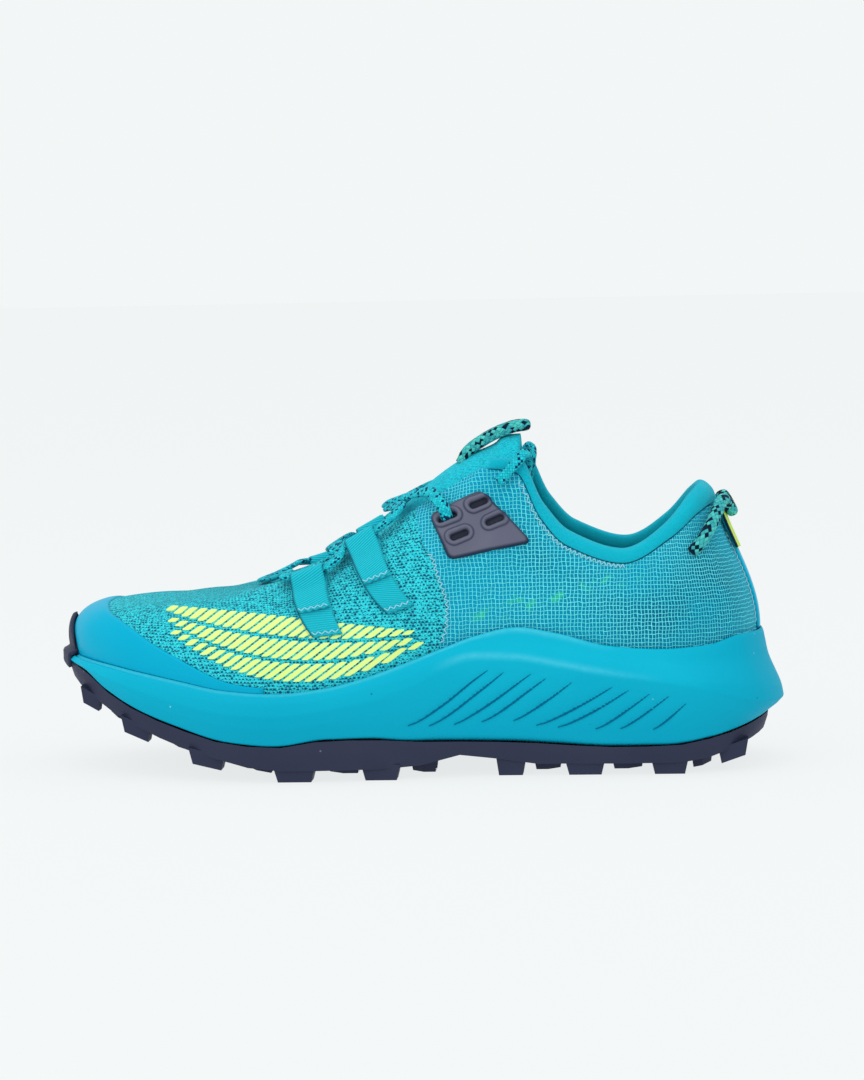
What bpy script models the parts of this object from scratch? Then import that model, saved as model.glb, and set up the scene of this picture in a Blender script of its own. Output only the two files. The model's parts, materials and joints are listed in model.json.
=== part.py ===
"""Left trail running shoe, standing empty on its sole.

Metres, +Z up. +X points to the toe and +Y to the shoe's outer (lateral) side.
The origin is on the ground, under the middle of the shoe's bounding box.

A place round the shoe is a turn: 0 at the back of the heel, 1 at the tip of the toe, positive
along the lateral side and negative along the medial side. A place up the upper's wall is a
climb: 0 at the rim of the midsole and 1 at the edge of the collar or throat.
"""

import math
from collections import namedtuple

import bmesh
import bpy
from mathutils import Vector

LENGTH = 0.280
SOLE_WIDTH = 0.106
SOLE_HEIGHT = 0.050
SOLE_FLARE = 0.008
LUG_HEIGHT = 0.0045
OUTSOLE_SHEET = 0.003
GROOVE_DEPTH = 0.0012
RIM_WIDTH = 0.0016
UPPER_HEIGHT = 0.0925
COLLAR_WIDTH = 0.057
THROAT_WIDTH = 0.030
WALL = 0.002
TUCK_WIDTH = 0.007
TUCK_RADIUS = 0.004
INSOLE_THICKNESS = 0.004
TONGUE_THICKNESS = 0.005
TONGUE_OVERLAP = 0.008
CUFF_THICKNESS = 0.0055
CAP_THICKNESS = 0.0008
GAP = 0.0003

BED_LEVEL = 0.68

RING = 56
HALF_RING = RING // 2

# The widest outline of the sole, seen from above: a row for each place from the heel's tip
# along both sides to the toe's tip. Stations are shares of LENGTH, sides of SOLE_WIDTH.
Plan = namedtuple("Plan", "station lateral medial")
PLAN = (
    Plan(0.000, 0.020, 0.020),
    Plan(0.012, 0.180, -0.140),
    Plan(0.046, 0.310, -0.275),
    Plan(0.114, 0.395, -0.365),
    Plan(0.214, 0.410, -0.372),
    Plan(0.321, 0.392, -0.325),
    Plan(0.429, 0.406, -0.306),
    Plan(0.536, 0.470, -0.377),
    Plan(0.636, 0.500, -0.465),
    Plan(0.736, 0.481, -0.500),
    Plan(0.829, 0.392, -0.481),
    Plan(0.910, 0.285, -0.432),
    Plan(0.974, 0.110, -0.330),
    Plan(1.000, -0.120, -0.120),
)

# The side of the sole at stations along LENGTH. Heights are shares of SOLE_HEIGHT: the foot of
# the midsole, the two edges of its ridge, its rim and the footbed inside it. Insets from the
# plan are shares of SOLE_FLARE.
Side = namedtuple(
    "Side", "station foot low high rim bed foot_in low_in high_in waist_in rim_in"
)
SIDES = (
    Side(0.000, 0.39, 0.50, 0.60, 1.03, 0.72, 0.75, 0.00, 0.12, 0.72, 0.98),
    Side(0.035, 0.34, 0.53, 0.65, 1.03, 0.72, 0.72, 0.00, 0.12, 0.72, 1.00),
    Side(0.090, 0.27, 0.63, 0.70, 0.97, 0.71, 0.62, 0.00, 0.10, 0.75, 1.00),
    Side(0.160, 0.22, 0.71, 0.75, 0.95, 0.69, 0.58, 0.02, 0.14, 0.70, 0.92),
    Side(0.235, 0.22, 0.77, 0.81, 0.98, 0.68, 0.50, 0.05, 0.20, 0.60, 0.80),
    Side(0.305, 0.24, 0.84, 0.88, 1.08, 0.66, 0.45, 0.08, 0.22, 0.50, 0.66),
    Side(0.357, 0.26, 0.89, 0.93, 1.13, 0.64, 0.42, 0.12, 0.22, 0.44, 0.56),
    Side(0.411, 0.27, 0.90, 0.95, 1.07, 0.62, 0.40, 0.16, 0.24, 0.38, 0.48),
    Side(0.455, 0.28, 0.83, 0.90, 0.98, 0.60, 0.38, 0.14, 0.22, 0.34, 0.44),
    Side(0.500, 0.29, 0.70, 0.78, 0.89, 0.58, 0.34, 0.08, 0.16, 0.28, 0.40),
    Side(0.555, 0.32, 0.61, 0.70, 0.79, 0.57, 0.30, 0.02, 0.12, 0.24, 0.38),
    Side(0.607, 0.32, 0.56, 0.64, 0.72, 0.55, 0.28, 0.00, 0.10, 0.22, 0.36),
    Side(0.680, 0.27, 0.51, 0.60, 0.68, 0.54, 0.28, 0.00, 0.10, 0.22, 0.36),
    Side(0.750, 0.30, 0.53, 0.61, 0.70, 0.56, 0.28, 0.02, 0.12, 0.24, 0.38),
    Side(0.820, 0.40, 0.60, 0.67, 0.76, 0.60, 0.28, 0.06, 0.16, 0.26, 0.42),
    Side(0.875, 0.51, 0.68, 0.74, 0.81, 0.66, 0.26, 0.10, 0.20, 0.30, 0.46),
    Side(0.925, 0.65, 0.76, 0.80, 0.85, 0.74, 0.26, 0.14, 0.24, 0.34, 0.50),
    Side(0.965, 0.79, 0.82, 0.84, 0.87, 0.80, 0.30, 0.20, 0.30, 0.40, 0.56),
    Side(1.000, 0.83, 0.85, 0.86, 0.88, 0.84, 0.34, 0.26, 0.36, 0.46, 0.60),
)

# The underside: the lug tips and the plain sheet between them, as shares of SOLE_HEIGHT. Both
# stand clear of the ground at the heel's end, under the arch and along the toe spring.
Tread = namedtuple("Tread", "station tip lift")
TREAD = (
    Tread(0.000, 0.240, 0.00),
    Tread(0.040, 0.150, 0.00),
    Tread(0.085, 0.060, 0.00),
    Tread(0.130, 0.000, 0.00),
    Tread(0.360, 0.000, 0.00),
    Tread(0.400, 0.000, 0.07),
    Tread(0.450, 0.000, 0.08),
    Tread(0.500, 0.000, 0.00),
    Tread(0.690, 0.000, 0.00),
    Tread(0.740, 0.060, 0.00),
    Tread(0.790, 0.125, 0.00),
    Tread(0.840, 0.220, 0.00),
    Tread(0.890, 0.340, 0.00),
    Tread(0.935, 0.470, 0.00),
    Tread(0.970, 0.580, 0.00),
    Tread(1.000, 0.650, 0.00),
)

# The edge of the collar and throat: stations are shares of LENGTH, sides of COLLAR_WIDTH or,
# in front of the collar, THROAT_WIDTH, and heights of UPPER_HEIGHT above BED_LEVEL, a share of SOLE_HEIGHT.
Edge = namedtuple("Edge", "turn station collar throat height")
EDGES = (
    Edge(0.000, 0.0965, 0.000, 0.00, 0.790),
    Edge(0.077, 0.1020, 0.160, 0.00, 0.793),
    Edge(0.154, 0.1180, 0.315, 0.00, 0.755),
    Edge(0.231, 0.1540, 0.447, 0.00, 0.645),
    Edge(0.308, 0.2140, 0.500, 0.00, 0.546),
    Edge(0.385, 0.2860, 0.456, 0.00, 0.620),
    Edge(0.423, 0.3190, 0.415, 0.00, 0.730),
    Edge(0.462, 0.3500, 0.360, 0.00, 0.908),
    Edge(0.500, 0.3860, 0.150, 0.36, 0.921),
    Edge(0.538, 0.4210, 0.000, 0.58, 0.849),
    Edge(0.615, 0.5000, 0.000, 0.52, 0.700),
    Edge(0.692, 0.5710, 0.000, 0.46, 0.567),
    Edge(0.769, 0.6210, 0.000, 0.41, 0.488),
    Edge(0.846, 0.6570, 0.000, 0.32, 0.436),
    Edge(0.923, 0.6790, 0.000, 0.18, 0.411),
    Edge(1.000, 0.6880, 0.000, 0.00, 0.404),
)

# How the wall bends between its two edges, as shares of the straight line between them.
Bend = namedtuple("Bend", "turn rise bulge reach sag")
BENDS = (
    Bend(0.000, 0.32, 0.01, 0.08, 0.36),
    Bend(0.154, 0.33, 0.04, 0.06, 0.34),
    Bend(0.308, 0.36, 0.08, 0.02, 0.30),
    Bend(0.385, 0.36, 0.06, 0.05, 0.30),
    Bend(0.462, 0.30, 0.04, 0.10, 0.26),
    Bend(0.538, 0.24, 0.03, 0.20, 0.22),
    Bend(0.615, 0.22, 0.03, 0.25, 0.20),
    Bend(0.692, 0.24, 0.04, 0.30, 0.18),
    Bend(0.769, 0.30, 0.05, 0.36, 0.15),
    Bend(0.846, 0.33, 0.07, 0.45, 0.145),
    Bend(0.923, 0.35, 0.09, 0.55, 0.15),
    Bend(1.000, 0.35, 0.09, 0.55, 0.15),
)

CLIMBS = (0.0, 0.10, 0.22, 0.35, 0.50, 0.64, 0.78, 0.90, 1.0)


def follow(rows, column, key, at):
    """One column of a table at a place between its rows, on a smooth curve without overshoot."""
    keys = [getattr(row, key) for row in rows]
    values = [getattr(row, column) for row in rows]
    at = min(max(at, keys[0]), keys[-1])
    last = len(rows) - 2
    k = next((n for n in range(last + 1) if at <= keys[n + 1]), last)

    def slope(n):
        return (values[n + 1] - values[n]) / (keys[n + 1] - keys[n])

    def tangent(n):
        if n == 0:
            return slope(0)
        if n == last + 1:
            return slope(last)
        before = slope(n - 1)
        after = slope(n)
        return 2 * before * after / (before + after) if before * after > 0 else 0.0

    span = keys[k + 1] - keys[k]
    t = (at - keys[k]) / span
    return (
        (2 * t**3 - 3 * t**2 + 1) * values[k]
        + (t**3 - 2 * t**2 + t) * span * tangent(k)
        + (3 * t**2 - 2 * t**3) * values[k + 1]
        + (t**3 - t**2) * span * tangent(k + 1)
    )


def plan_row(number):
    """A control point of the closed plan, counted from the heel's tip round the lateral side."""
    last = len(PLAN) - 1
    number %= 2 * last
    if number <= last:
        row = PLAN[number]
        return Vector(((row.station - 0.5) * LENGTH, row.lateral * SOLE_WIDTH, 0))
    row = PLAN[2 * last - number]
    return Vector(((row.station - 0.5) * LENGTH, row.medial * SOLE_WIDTH, 0))


def plan_point(turn):
    place = turn * (len(PLAN) - 1)
    k = math.floor(place)
    t = place - k
    a, b, c, d = (plan_row(k + n) for n in (-1, 0, 1, 2))
    return 0.5 * (
        2 * b + (c - a) * t + (2 * a - 5 * b + 4 * c - d) * t**2 + (3 * b - 3 * c + d - a) * t**3
    )


def plan_outward(turn):
    step = 0.004
    along = plan_point(turn + step) - plan_point(turn - step)
    return Vector((-along.y, along.x, 0)).normalized()


def side(column, turn):
    return follow(SIDES, column, "station", plan_point(turn).x / LENGTH + 0.5)


def height(column, turn):
    return side(column, turn) * SOLE_HEIGHT


def inset(column, turn):
    return side(column, turn) * SOLE_FLARE


def tip_height(station):
    return follow(TREAD, "tip", "station", station) * SOLE_HEIGHT


def sheet_height(station):
    return tip_height(station) + follow(TREAD, "lift", "station", station) * SOLE_HEIGHT + LUG_HEIGHT


def around(turn, inward, z):
    """A point at a place round the shoe, set in from the plan's outline."""
    return plan_point(turn) - plan_outward(turn) * inward + Vector((0, 0, z))


def turns():
    return [2 * n / RING if n <= HALF_RING else 2 * n / RING - 2 for n in range(RING)]


def ring(inward, z):
    """One ring of points, where both arguments are functions of the turn."""
    return [around(t, inward(t), z(t)) for t in turns()]


def add_material(obj, colour, roughness, metallic=0.0):
    material = bpy.data.materials.new(obj.name)
    material.use_nodes = True
    shader = material.node_tree.nodes["Principled BSDF"]
    shader.inputs["Base Color"].default_value = (*colour, 1)
    shader.inputs["Roughness"].default_value = roughness
    shader.inputs["Metallic"].default_value = metallic
    obj.data.materials.append(material)


def add_object(name, mesh_builder, colour, roughness=0.7):
    """Turns a bmesh into a named object with its own material, its faces facing out."""
    bmesh.ops.triangulate(mesh_builder, faces=mesh_builder.faces, quad_method="SHORT_EDGE")
    bmesh.ops.recalc_face_normals(mesh_builder, faces=mesh_builder.faces)
    mesh = bpy.data.meshes.new(name)
    mesh_builder.to_mesh(mesh)
    mesh_builder.free()
    mesh.shade_smooth()
    obj = bpy.data.objects.new(name, mesh)
    bpy.context.scene.collection.objects.link(obj)
    add_material(obj, colour, roughness)
    return obj


def add_helper(name, mesh_builder):
    obj = add_object(name, mesh_builder, (0.5, 0.5, 0.5))
    obj.hide_render = True
    obj.display_type = "WIRE"
    return obj


def combine(obj, other, operation):
    modifier = obj.modifiers.new(other.name, "BOOLEAN")
    modifier.operation = operation
    modifier.object = other


def join_rows(builder, first, second, close):
    """Quads between two rows of vertices."""
    count = len(first)
    for n in range(count if close else count - 1):
        m = (n + 1) % count
        builder.faces.new((first[n], first[m], second[m], second[n]))


def cap_ring(builder, row):
    """Fills a ring with strips that run across the shoe."""
    for n in range(HALF_RING):
        corners = [row[n], row[n + 1], row[(RING - n - 1) % RING], row[(RING - n) % RING]]
        builder.faces.new(list(dict.fromkeys(corners)))


def stacked(name, rings, colour):
    """A closed solid through rings of points, from the bottom up."""
    builder = bmesh.new()
    rows = [[builder.verts.new(p) for p in points] for points in rings]
    for lower, upper in zip(rows, rows[1:]):
        join_rows(builder, lower, upper, True)
    cap_ring(builder, rows[0])
    cap_ring(builder, rows[-1])
    return add_object(name, builder, colour)


def shell_builder(outer, inner, close):
    """A closed solid between two grids of points. close joins the last row to the first."""
    builder = bmesh.new()
    front = [[builder.verts.new(p) for p in row] for row in outer]
    back = [[builder.verts.new(p) for p in row] for row in inner]
    loops = [list(zip(front[n], back[n])) for n in range(len(front))]
    count = len(loops)
    for n in range(count if close else count - 1):
        m = (n + 1) % count
        join_rows(builder, front[n], front[m], False)
        join_rows(builder, back[m], back[n], False)
        for end in (0, -1):
            builder.faces.new((loops[n][end][0], loops[m][end][0], loops[m][end][1], loops[n][end][1]))
    if not close:
        for n in (0, -1):
            join_rows(builder, front[n], back[n], False)
    return builder


def clear_scene():
    for obj in list(bpy.data.objects):
        bpy.data.objects.remove(obj)


# The sole


def foot_inset(turn):
    return inset("foot_in", turn)


def foot_height(turn):
    return height("foot", turn)


def dish_inset(turn):
    """Where the underside of the midsole has dropped from its edge to the sheet's level."""
    return foot_inset(turn) + SOLE_FLARE


def station_at(turn, inward):
    return around(turn, inward, 0).x / LENGTH + 0.5


def sheet_bottom(turn, inward):
    """The underside of the rubber sheet, no higher than its own upturned edge allows."""
    return min(sheet_height(station_at(turn, inward)), foot_height(turn) - SHEET_EDGE)


def dish_height(turn):
    return min(sheet_bottom(turn, dish_inset(turn)) + OUTSOLE_SHEET, foot_height(turn))


def cup_inset(turn):
    """The inner face of the midsole's rim."""
    return inset("rim_in", turn) + RIM_WIDTH


def bed_height(turn, inward):
    return follow(SIDES, "bed", "station", station_at(turn, inward)) * SOLE_HEIGHT


def midsole():
    def ridge(turn):
        return 0.5 * (height("high", turn) + height("rim", turn))

    rings = [
        ring(dish_inset, lambda t: dish_height(t) + GAP),
        ring(foot_inset, lambda t: foot_height(t) + GAP),
        ring(
            lambda t: 0.35 * inset("foot_in", t) + 0.65 * inset("low_in", t),
            lambda t: 0.40 * height("foot", t) + 0.60 * height("low", t),
        ),
        ring(lambda t: inset("low_in", t), lambda t: height("low", t)),
        ring(lambda t: inset("high_in", t), lambda t: height("high", t)),
        ring(lambda t: inset("waist_in", t), ridge),
        ring(
            lambda t: 0.15 * inset("waist_in", t) + 0.85 * inset("rim_in", t),
            lambda t: height("rim", t) - 0.7 * RIM_WIDTH,
        ),
        ring(lambda t: inset("rim_in", t) + 0.25 * RIM_WIDTH, lambda t: height("rim", t)),
        ring(cup_inset, lambda t: height("rim", t) - 0.25 * RIM_WIDTH),
        ring(cup_inset, lambda t: bed_height(t, cup_inset(t))),
    ]
    body = stacked("midsole", rings, (0.0, 0.43, 0.62))
    grooves = add_helper("midsole_grooves", groove_blades())
    combine(body, grooves, "DIFFERENCE")


# The slashes in the side of the midsole. Each runs from a low front end to a high rear end;
# climbs are shares of the wall between the midsole's foot and its ridge.
Groove = namedtuple("Groove", "front rear low high")
GROOVES = (
    Groove(0.500, 0.395, 0.30, 0.86),
    Groove(0.472, 0.374, 0.24, 0.84),
    Groove(0.440, 0.338, 0.22, 0.84),
    Groove(0.404, 0.318, 0.24, 0.82),
    Groove(0.362, 0.284, 0.26, 0.82),
    Groove(0.332, 0.230, 0.22, 0.84),
    Groove(0.304, 0.208, 0.22, 0.82),
    Groove(0.254, 0.180, 0.24, 0.80),
    Groove(0.220, 0.154, 0.26, 0.80),
    Groove(0.176, 0.130, 0.26, 0.72),
)
GROOVE_WIDTH = 0.0016


def turn_at(station, sign):
    """The turn at a station, found by halving, on the side that the sign names."""
    low, high = 0.0, 1.0
    for _ in range(24):
        middle = 0.5 * (low + high)
        if plan_point(sign * middle).x / LENGTH + 0.5 < station:
            low = middle
        else:
            high = middle
    return sign * low


def wall_point(station, sign, climb, depth):
    """A point on the midsole's wall between its foot and its ridge, sunk by depth."""
    turn = turn_at(station, sign)
    z = (1 - climb) * foot_height(turn) + climb * height("low", turn)
    inward = (1 - climb) * foot_inset(turn) + climb * inset("low_in", turn)
    return around(turn, inward + depth, z)


def groove_blades():
    """Bent wedges, four stretches long, that cut the slashes on both sides."""
    builder = bmesh.new()
    steps = 3
    for sign in (1, -1):
        for groove in GROOVES:
            rows = []
            for n in range(steps + 1):
                t = n / steps
                station = groove.front + (groove.rear - groove.front) * t**0.8
                climb = groove.low + (groove.high - groove.low) * t
                thick = GROOVE_WIDTH * (0.35 + 0.65 * math.sin(math.pi * (0.15 + 0.7 * t)))
                share = thick / (height("low", turn_at(station, sign)) - foot_height(turn_at(station, sign)))
                corners = (
                    wall_point(station, sign, climb - share, -3 * GROOVE_DEPTH),
                    wall_point(station, sign, climb + share, -3 * GROOVE_DEPTH),
                    wall_point(station, sign, climb, GROOVE_DEPTH),
                )
                rows.append([builder.verts.new(p) for p in corners])
            for first, second in zip(rows, rows[1:]):
                join_rows(builder, first, second, True)
            builder.faces.new(rows[0])
            builder.faces.new(rows[-1])
    return builder


# The lugs, in rows across the sole. Rows along the edges also have a chevron in the middle, and
# the rows between them have two chevrons. Lengths are shares of LENGTH, and widths shares of
# half the sheet's width there.
LugRow = namedtuple("LugRow", "station length edge_width middle_width")
LUG_ROWS = (
    LugRow(0.070, 0.040, 0.34, 0.34),
    LugRow(0.112, 0.030, 0.00, 0.34),
    LugRow(0.155, 0.050, 0.32, 0.32),
    LugRow(0.212, 0.046, 0.00, 0.34),
    LugRow(0.268, 0.054, 0.32, 0.32),
    LugRow(0.320, 0.040, 0.00, 0.34),
    LugRow(0.368, 0.040, 0.34, 0.34),
    LugRow(0.488, 0.040, 0.00, 0.32),
    LugRow(0.540, 0.052, 0.30, 0.28),
    LugRow(0.597, 0.050, 0.00, 0.28),
    LugRow(0.655, 0.056, 0.28, 0.26),
    LugRow(0.716, 0.050, 0.00, 0.28),
    LugRow(0.775, 0.048, 0.28, 0.28),
    LugRow(0.826, 0.044, 0.00, 0.32),
    LugRow(0.876, 0.040, 0.30, 0.30),
    LugRow(0.912, 0.030, 0.00, 0.36),
    LugRow(0.945, 0.026, 0.36, 0.34),
)
LUG_TAPER = 0.80
SHEET_EDGE = 0.0015


def half_widths(station):
    """The sheet's lateral and medial sides at a station."""
    inward = SHEET_EDGE + 0.0008
    lateral = turn_at(station, 1)
    medial = turn_at(station, -1)
    return (
        around(lateral, foot_inset(lateral) + inward, 0).y,
        around(medial, foot_inset(medial) + inward, 0).y,
    )


def add_lug(builder, outline, centre, size):
    """One tapered block from inside the rubber sheet down to the tread's tips."""
    rows = []
    for share, spread in ((1.0, 1.0), (0.0, LUG_TAPER)):
        row = []
        for along, across in outline:
            x = centre.x + along * size.x * spread
            y = centre.y + across * size.y * spread
            station = x / LENGTH + 0.5
            top = sheet_height(station) + 0.5 * OUTSOLE_SHEET
            z = share * top + (1 - share) * tip_height(station)
            row.append(builder.verts.new((x, y, z)))
        rows.append(row)
    join_rows(builder, rows[0], rows[1], True)
    builder.faces.new(rows[0])
    builder.faces.new(rows[1])


def lugs():
    builder = bmesh.new()
    block = ((-0.5, -0.35), (-0.35, -0.5), (0.35, -0.5), (0.5, -0.35), (0.5, 0.5), (-0.5, 0.5))
    for row in LUG_ROWS:
        lateral, medial = half_widths(row.station)
        middle = 0.5 * (lateral + medial)
        half = 0.5 * (lateral - medial)
        forward = 1 if row.station > 0.45 else -1
        chevron = (
            (-0.5, -0.5),
            (0.0, -0.5),
            (0.5, 0.0),
            (0.0, 0.5),
            (-0.5, 0.5),
            (-0.15, 0.0),
        )
        x = (row.station - 0.5) * LENGTH
        length = row.length * LENGTH
        for sign in (1, -1) if row.edge_width else ():
            width = row.edge_width * half
            y = middle + sign * (half - 0.5 * width)
            outline = [(a, b * sign) for a, b in block]
            add_lug(builder, outline, Vector((x, y, 0)), Vector((length, width, 0)))
        for place in (0.0,) if row.edge_width else (0.42, -0.42):
            centre = Vector((x, middle + place * half, 0))
            outline = [(a * forward, b) for a, b in chevron]
            add_lug(builder, outline, centre, Vector((length, row.middle_width * half, 0)))
    return add_helper("outsole_lugs", builder)


def outsole():
    def floor_inset(turn):
        return dish_inset(turn) + SHEET_EDGE

    def edge_inset(turn):
        return foot_inset(turn) + SHEET_EDGE

    def edge_bottom(turn):
        return sheet_bottom(turn, edge_inset(turn))

    rings = [
        ring(floor_inset, lambda t: sheet_bottom(t, floor_inset(t))),
        ring(edge_inset, edge_bottom),
        ring(
            lambda t: foot_inset(t) + 0.2 * SHEET_EDGE,
            lambda t: 0.6 * foot_height(t) + 0.4 * edge_bottom(t),
        ),
        ring(foot_inset, foot_height),
        ring(dish_inset, dish_height),
    ]
    body = stacked("outsole", rings, (0.035, 0.045, 0.075))
    combine(body, lugs(), "UNION")


# The upper


def rim_point(turn):
    """The foot of the upper's wall, just inside the midsole's rim."""
    return around(turn, cup_inset(turn) + GAP, height("rim", turn) - 0.25 * RIM_WIDTH)


def instep(share):
    """A height over the footbed, as a share of the upper's height."""
    return BED_LEVEL * SOLE_HEIGHT + share * UPPER_HEIGHT


def edge_point(turn):
    """A point on the edge of the collar or the throat."""
    row = abs(turn)
    sign = 1 if turn >= 0 else -1
    collar = follow(EDGES, "collar", "turn", row) * COLLAR_WIDTH
    throat = follow(EDGES, "throat", "turn", row) * THROAT_WIDTH
    return Vector(
        (
            (follow(EDGES, "station", "turn", row) - 0.5) * LENGTH,
            sign * (collar + throat),
            instep(follow(EDGES, "height", "turn", row)),
        )
    )


def skin(turn, climb):
    """The outer face of the upper."""
    foot = rim_point(turn)
    edge = edge_point(turn)
    chord = (edge - foot).length
    flat = Vector((foot.x - edge.x, foot.y - edge.y, 0)).normalized()
    row = abs(turn)
    rise, bulge, reach, sag = (
        follow(BENDS, column, "turn", row) * chord for column in ("rise", "bulge", "reach", "sag")
    )
    lower = foot + Vector((0, 0, rise)) + plan_outward(turn) * bulge
    upper = edge + flat * reach - Vector((0, 0, sag))
    t = climb
    return (
        (1 - t) ** 3 * foot
        + 3 * (1 - t) ** 2 * t * lower
        + 3 * (1 - t) * t**2 * upper
        + t**3 * edge
    )


def skin_outward(turn, climb):
    step = 0.01
    low = min(max(climb - step, 0), 1 - 2 * step)
    along = skin(turn + step, climb) - skin(turn - step, climb)
    up = skin(turn, low + 2 * step) - skin(turn, low)
    return up.cross(along).normalized()


def raised(turn, climb, lift):
    """A point over the upper's outer face, or under it where the lift is negative."""
    return skin(turn, climb) + skin_outward(turn, climb) * lift


def upper():
    def column(turn, depth):
        """One strip up the wall: the tuck under the foot, the bend, then the wall."""
        place = cup_inset(turn) + GAP
        radius = TUCK_RADIUS
        end = place + radius + TUCK_WIDTH
        points = [around(turn, end, bed_height(turn, end) + GAP + depth)]
        for angle in (90, 45, 0):
            a = math.radians(angle)
            inward = place + radius - (radius - depth) * math.cos(a)
            lift = GAP + radius - (radius - depth) * math.sin(a)
            points.append(around(turn, inward, bed_height(turn, place + radius) + lift))
        top = upper_top(turn)
        points += [raised(turn, c * top, -depth) for c in CLIMBS]
        return points

    outer = [column(t, 0.0) for t in turns()]
    inner = [column(t, WALL) for t in turns()]
    add_object("upper", shell_builder(outer, inner, True), (0.02, 0.38, 0.55))


CUFF_END = 0.50
CUFF_SIDE_HEIGHT = 0.0060
CUFF_HEEL_HEIGHT = 0.0090


def cuff_foot(turn):
    """The climb at which the padded cuff starts."""
    length = (edge_point(turn) - rim_point(turn)).length
    share = min(abs(turn) / 0.25, 1)
    tall = CUFF_HEEL_HEIGHT + (CUFF_SIDE_HEIGHT - CUFF_HEEL_HEIGHT) * share
    return 1 - tall / length


def upper_top(turn):
    """The climb at which the upper's wall ends: under the cuff, or at the throat's edge."""
    gap = GAP / (edge_point(turn) - rim_point(turn)).length
    under = cuff_foot(turn) - gap
    share = min(max((abs(turn) - CUFF_END) / 0.04, 0), 1)
    return under + (1 - under) * share


def collar_cuff():
    """A rounded padded band on the edge of the collar, from one side of the throat to the other."""
    section = (
        (0.00, 0.02),
        (0.30, 0.10),
        (0.65, 0.06),
        (0.90, -0.16),
        (1.00, -0.50),
        (0.88, -0.80),
        (0.60, -0.94),
        (0.25, -0.96),
        (0.00, -0.80),
    )
    builder = bmesh.new()
    rows = []
    for turn in sorted(t for t in turns() if abs(t) <= CUFF_END):
        low = cuff_foot(turn)
        row = [raised(turn, low + (1 - low) * c, lift * CUFF_THICKNESS) for c, lift in section]
        rows.append([builder.verts.new(p) for p in row])
    for first, second in zip(rows, rows[1:]):
        join_rows(builder, first, second, True)
    builder.faces.new(rows[0])
    builder.faces.new(rows[-1])
    add_object("collar_cuff", builder, (0.01, 0.30, 0.50))


# The tongue and the insole

# The middle line of the tongue's outer face, as a share of UPPER_HEIGHT above BED_LEVEL.
Crown = namedtuple("Crown", "station height")
CROWNS = (
    Crown(0.350, 0.990),
    Crown(0.372, 0.985),
    Crown(0.395, 0.955),
    Crown(0.421, 0.915),
    Crown(0.450, 0.865),
    Crown(0.480, 0.800),
    Crown(0.520, 0.695),
    Crown(0.560, 0.600),
    Crown(0.600, 0.510),
    Crown(0.640, 0.430),
    Crown(0.690, 0.352),
)
TONGUE_TURNS = (0.470, 0.482, 0.500, 0.538, 0.580, 0.620, 0.660, 0.700, 0.740, 0.780, 0.830, 0.880)
VAMP_FAN = ((0.85, 2.2), (0.89, 1.95), (0.92, 1.8), (0.95, 1.7), (0.98, 1.6), (1.00, 1.55))


def climb_back(turn, distance):
    """The climb that lies this far down the wall from its top edge."""
    return 1 - distance / (edge_point(turn) - rim_point(turn)).length


def under_depth(turn):
    """How deep the tongue runs under the outer face: inside the cuff, or inside the wall."""
    share = min(max((abs(turn) - CUFF_END) / 0.04, 0), 1)
    return (1 - share) * CUFF_THICKNESS + share * WALL + 2 * GAP


def tongue_row(turn):
    """Points from the lateral edge of the tongue over its crown to the medial edge."""
    station = follow(EDGES, "station", "turn", turn)
    crown = instep(follow(CROWNS, "height", "station", station))
    flaps = {}
    for sign in (1, -1):
        flaps[sign] = [
            raised(sign * turn, climb_back(turn, distance), -under_depth(turn))
            for distance in (TONGUE_OVERLAP, 0.5 * TONGUE_OVERLAP, 0.0)
        ]
    lateral = flaps[1][-1]
    medial = flaps[-1][-1]
    dome = []
    for share in (0.17, 0.33, 0.5, 0.67, 0.83):
        point = lateral.lerp(medial, share)
        point.z += (crown - 0.5 * (lateral.z + medial.z)) * (1 - (2 * share - 1) ** 2)
        dome.append(point)
    return flaps[1] + dome + flaps[-1][::-1]


def offset_grid(grid, depth):
    """The grid sunk by depth along its own normals."""
    rows = len(grid)
    columns = len(grid[0])
    sunk = []
    for n in range(rows):
        row = []
        for k in range(columns):
            along = grid[min(n + 1, rows - 1)][k] - grid[max(n - 1, 0)][k]
            across = grid[n][min(k + 1, columns - 1)] - grid[n][max(k - 1, 0)]
            normal = across.cross(along).normalized()
            row.append(grid[n][k] - normal * depth)
        sunk.append(row)
    return sunk


def tongue_grid():
    grid = [tongue_row(turn) for turn in TONGUE_TURNS]
    fan = []
    for turn, reach in VAMP_FAN:
        distance = reach * TONGUE_OVERLAP
        fan.append(raised(turn, climb_back(turn, distance), -under_depth(turn)))
    mirrored = []
    for turn, reach in VAMP_FAN[-2::-1]:
        distance = reach * TONGUE_OVERLAP
        mirrored.append(raised(-turn, climb_back(turn, distance), -under_depth(turn)))
    grid.append(fan + mirrored)
    return grid


def tongue():
    outer = tongue_grid()
    inner = offset_grid(outer, TONGUE_THICKNESS)
    add_object("tongue", shell_builder(outer, inner, False), (0.02, 0.42, 0.60))


def insole():
    def margin(turn):
        return cup_inset(turn) + 2 * GAP + WALL + 0.35 * TUCK_RADIUS

    def inner_margin(turn):
        return margin(turn) + 0.5 * TUCK_RADIUS

    def level(inward, lift):
        return lambda t: bed_height(t, inward(t)) + 2 * GAP + WALL + lift

    rings = [
        ring(inner_margin, level(inner_margin, 0)),
        ring(margin, level(margin, 0.5 * TUCK_RADIUS)),
        ring(margin, level(margin, INSOLE_THICKNESS)),
        ring(inner_margin, level(inner_margin, INSOLE_THICKNESS)),
    ]
    stacked("insole", rings, (0.05, 0.25, 0.35))


# Overlays on the upper


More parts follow.
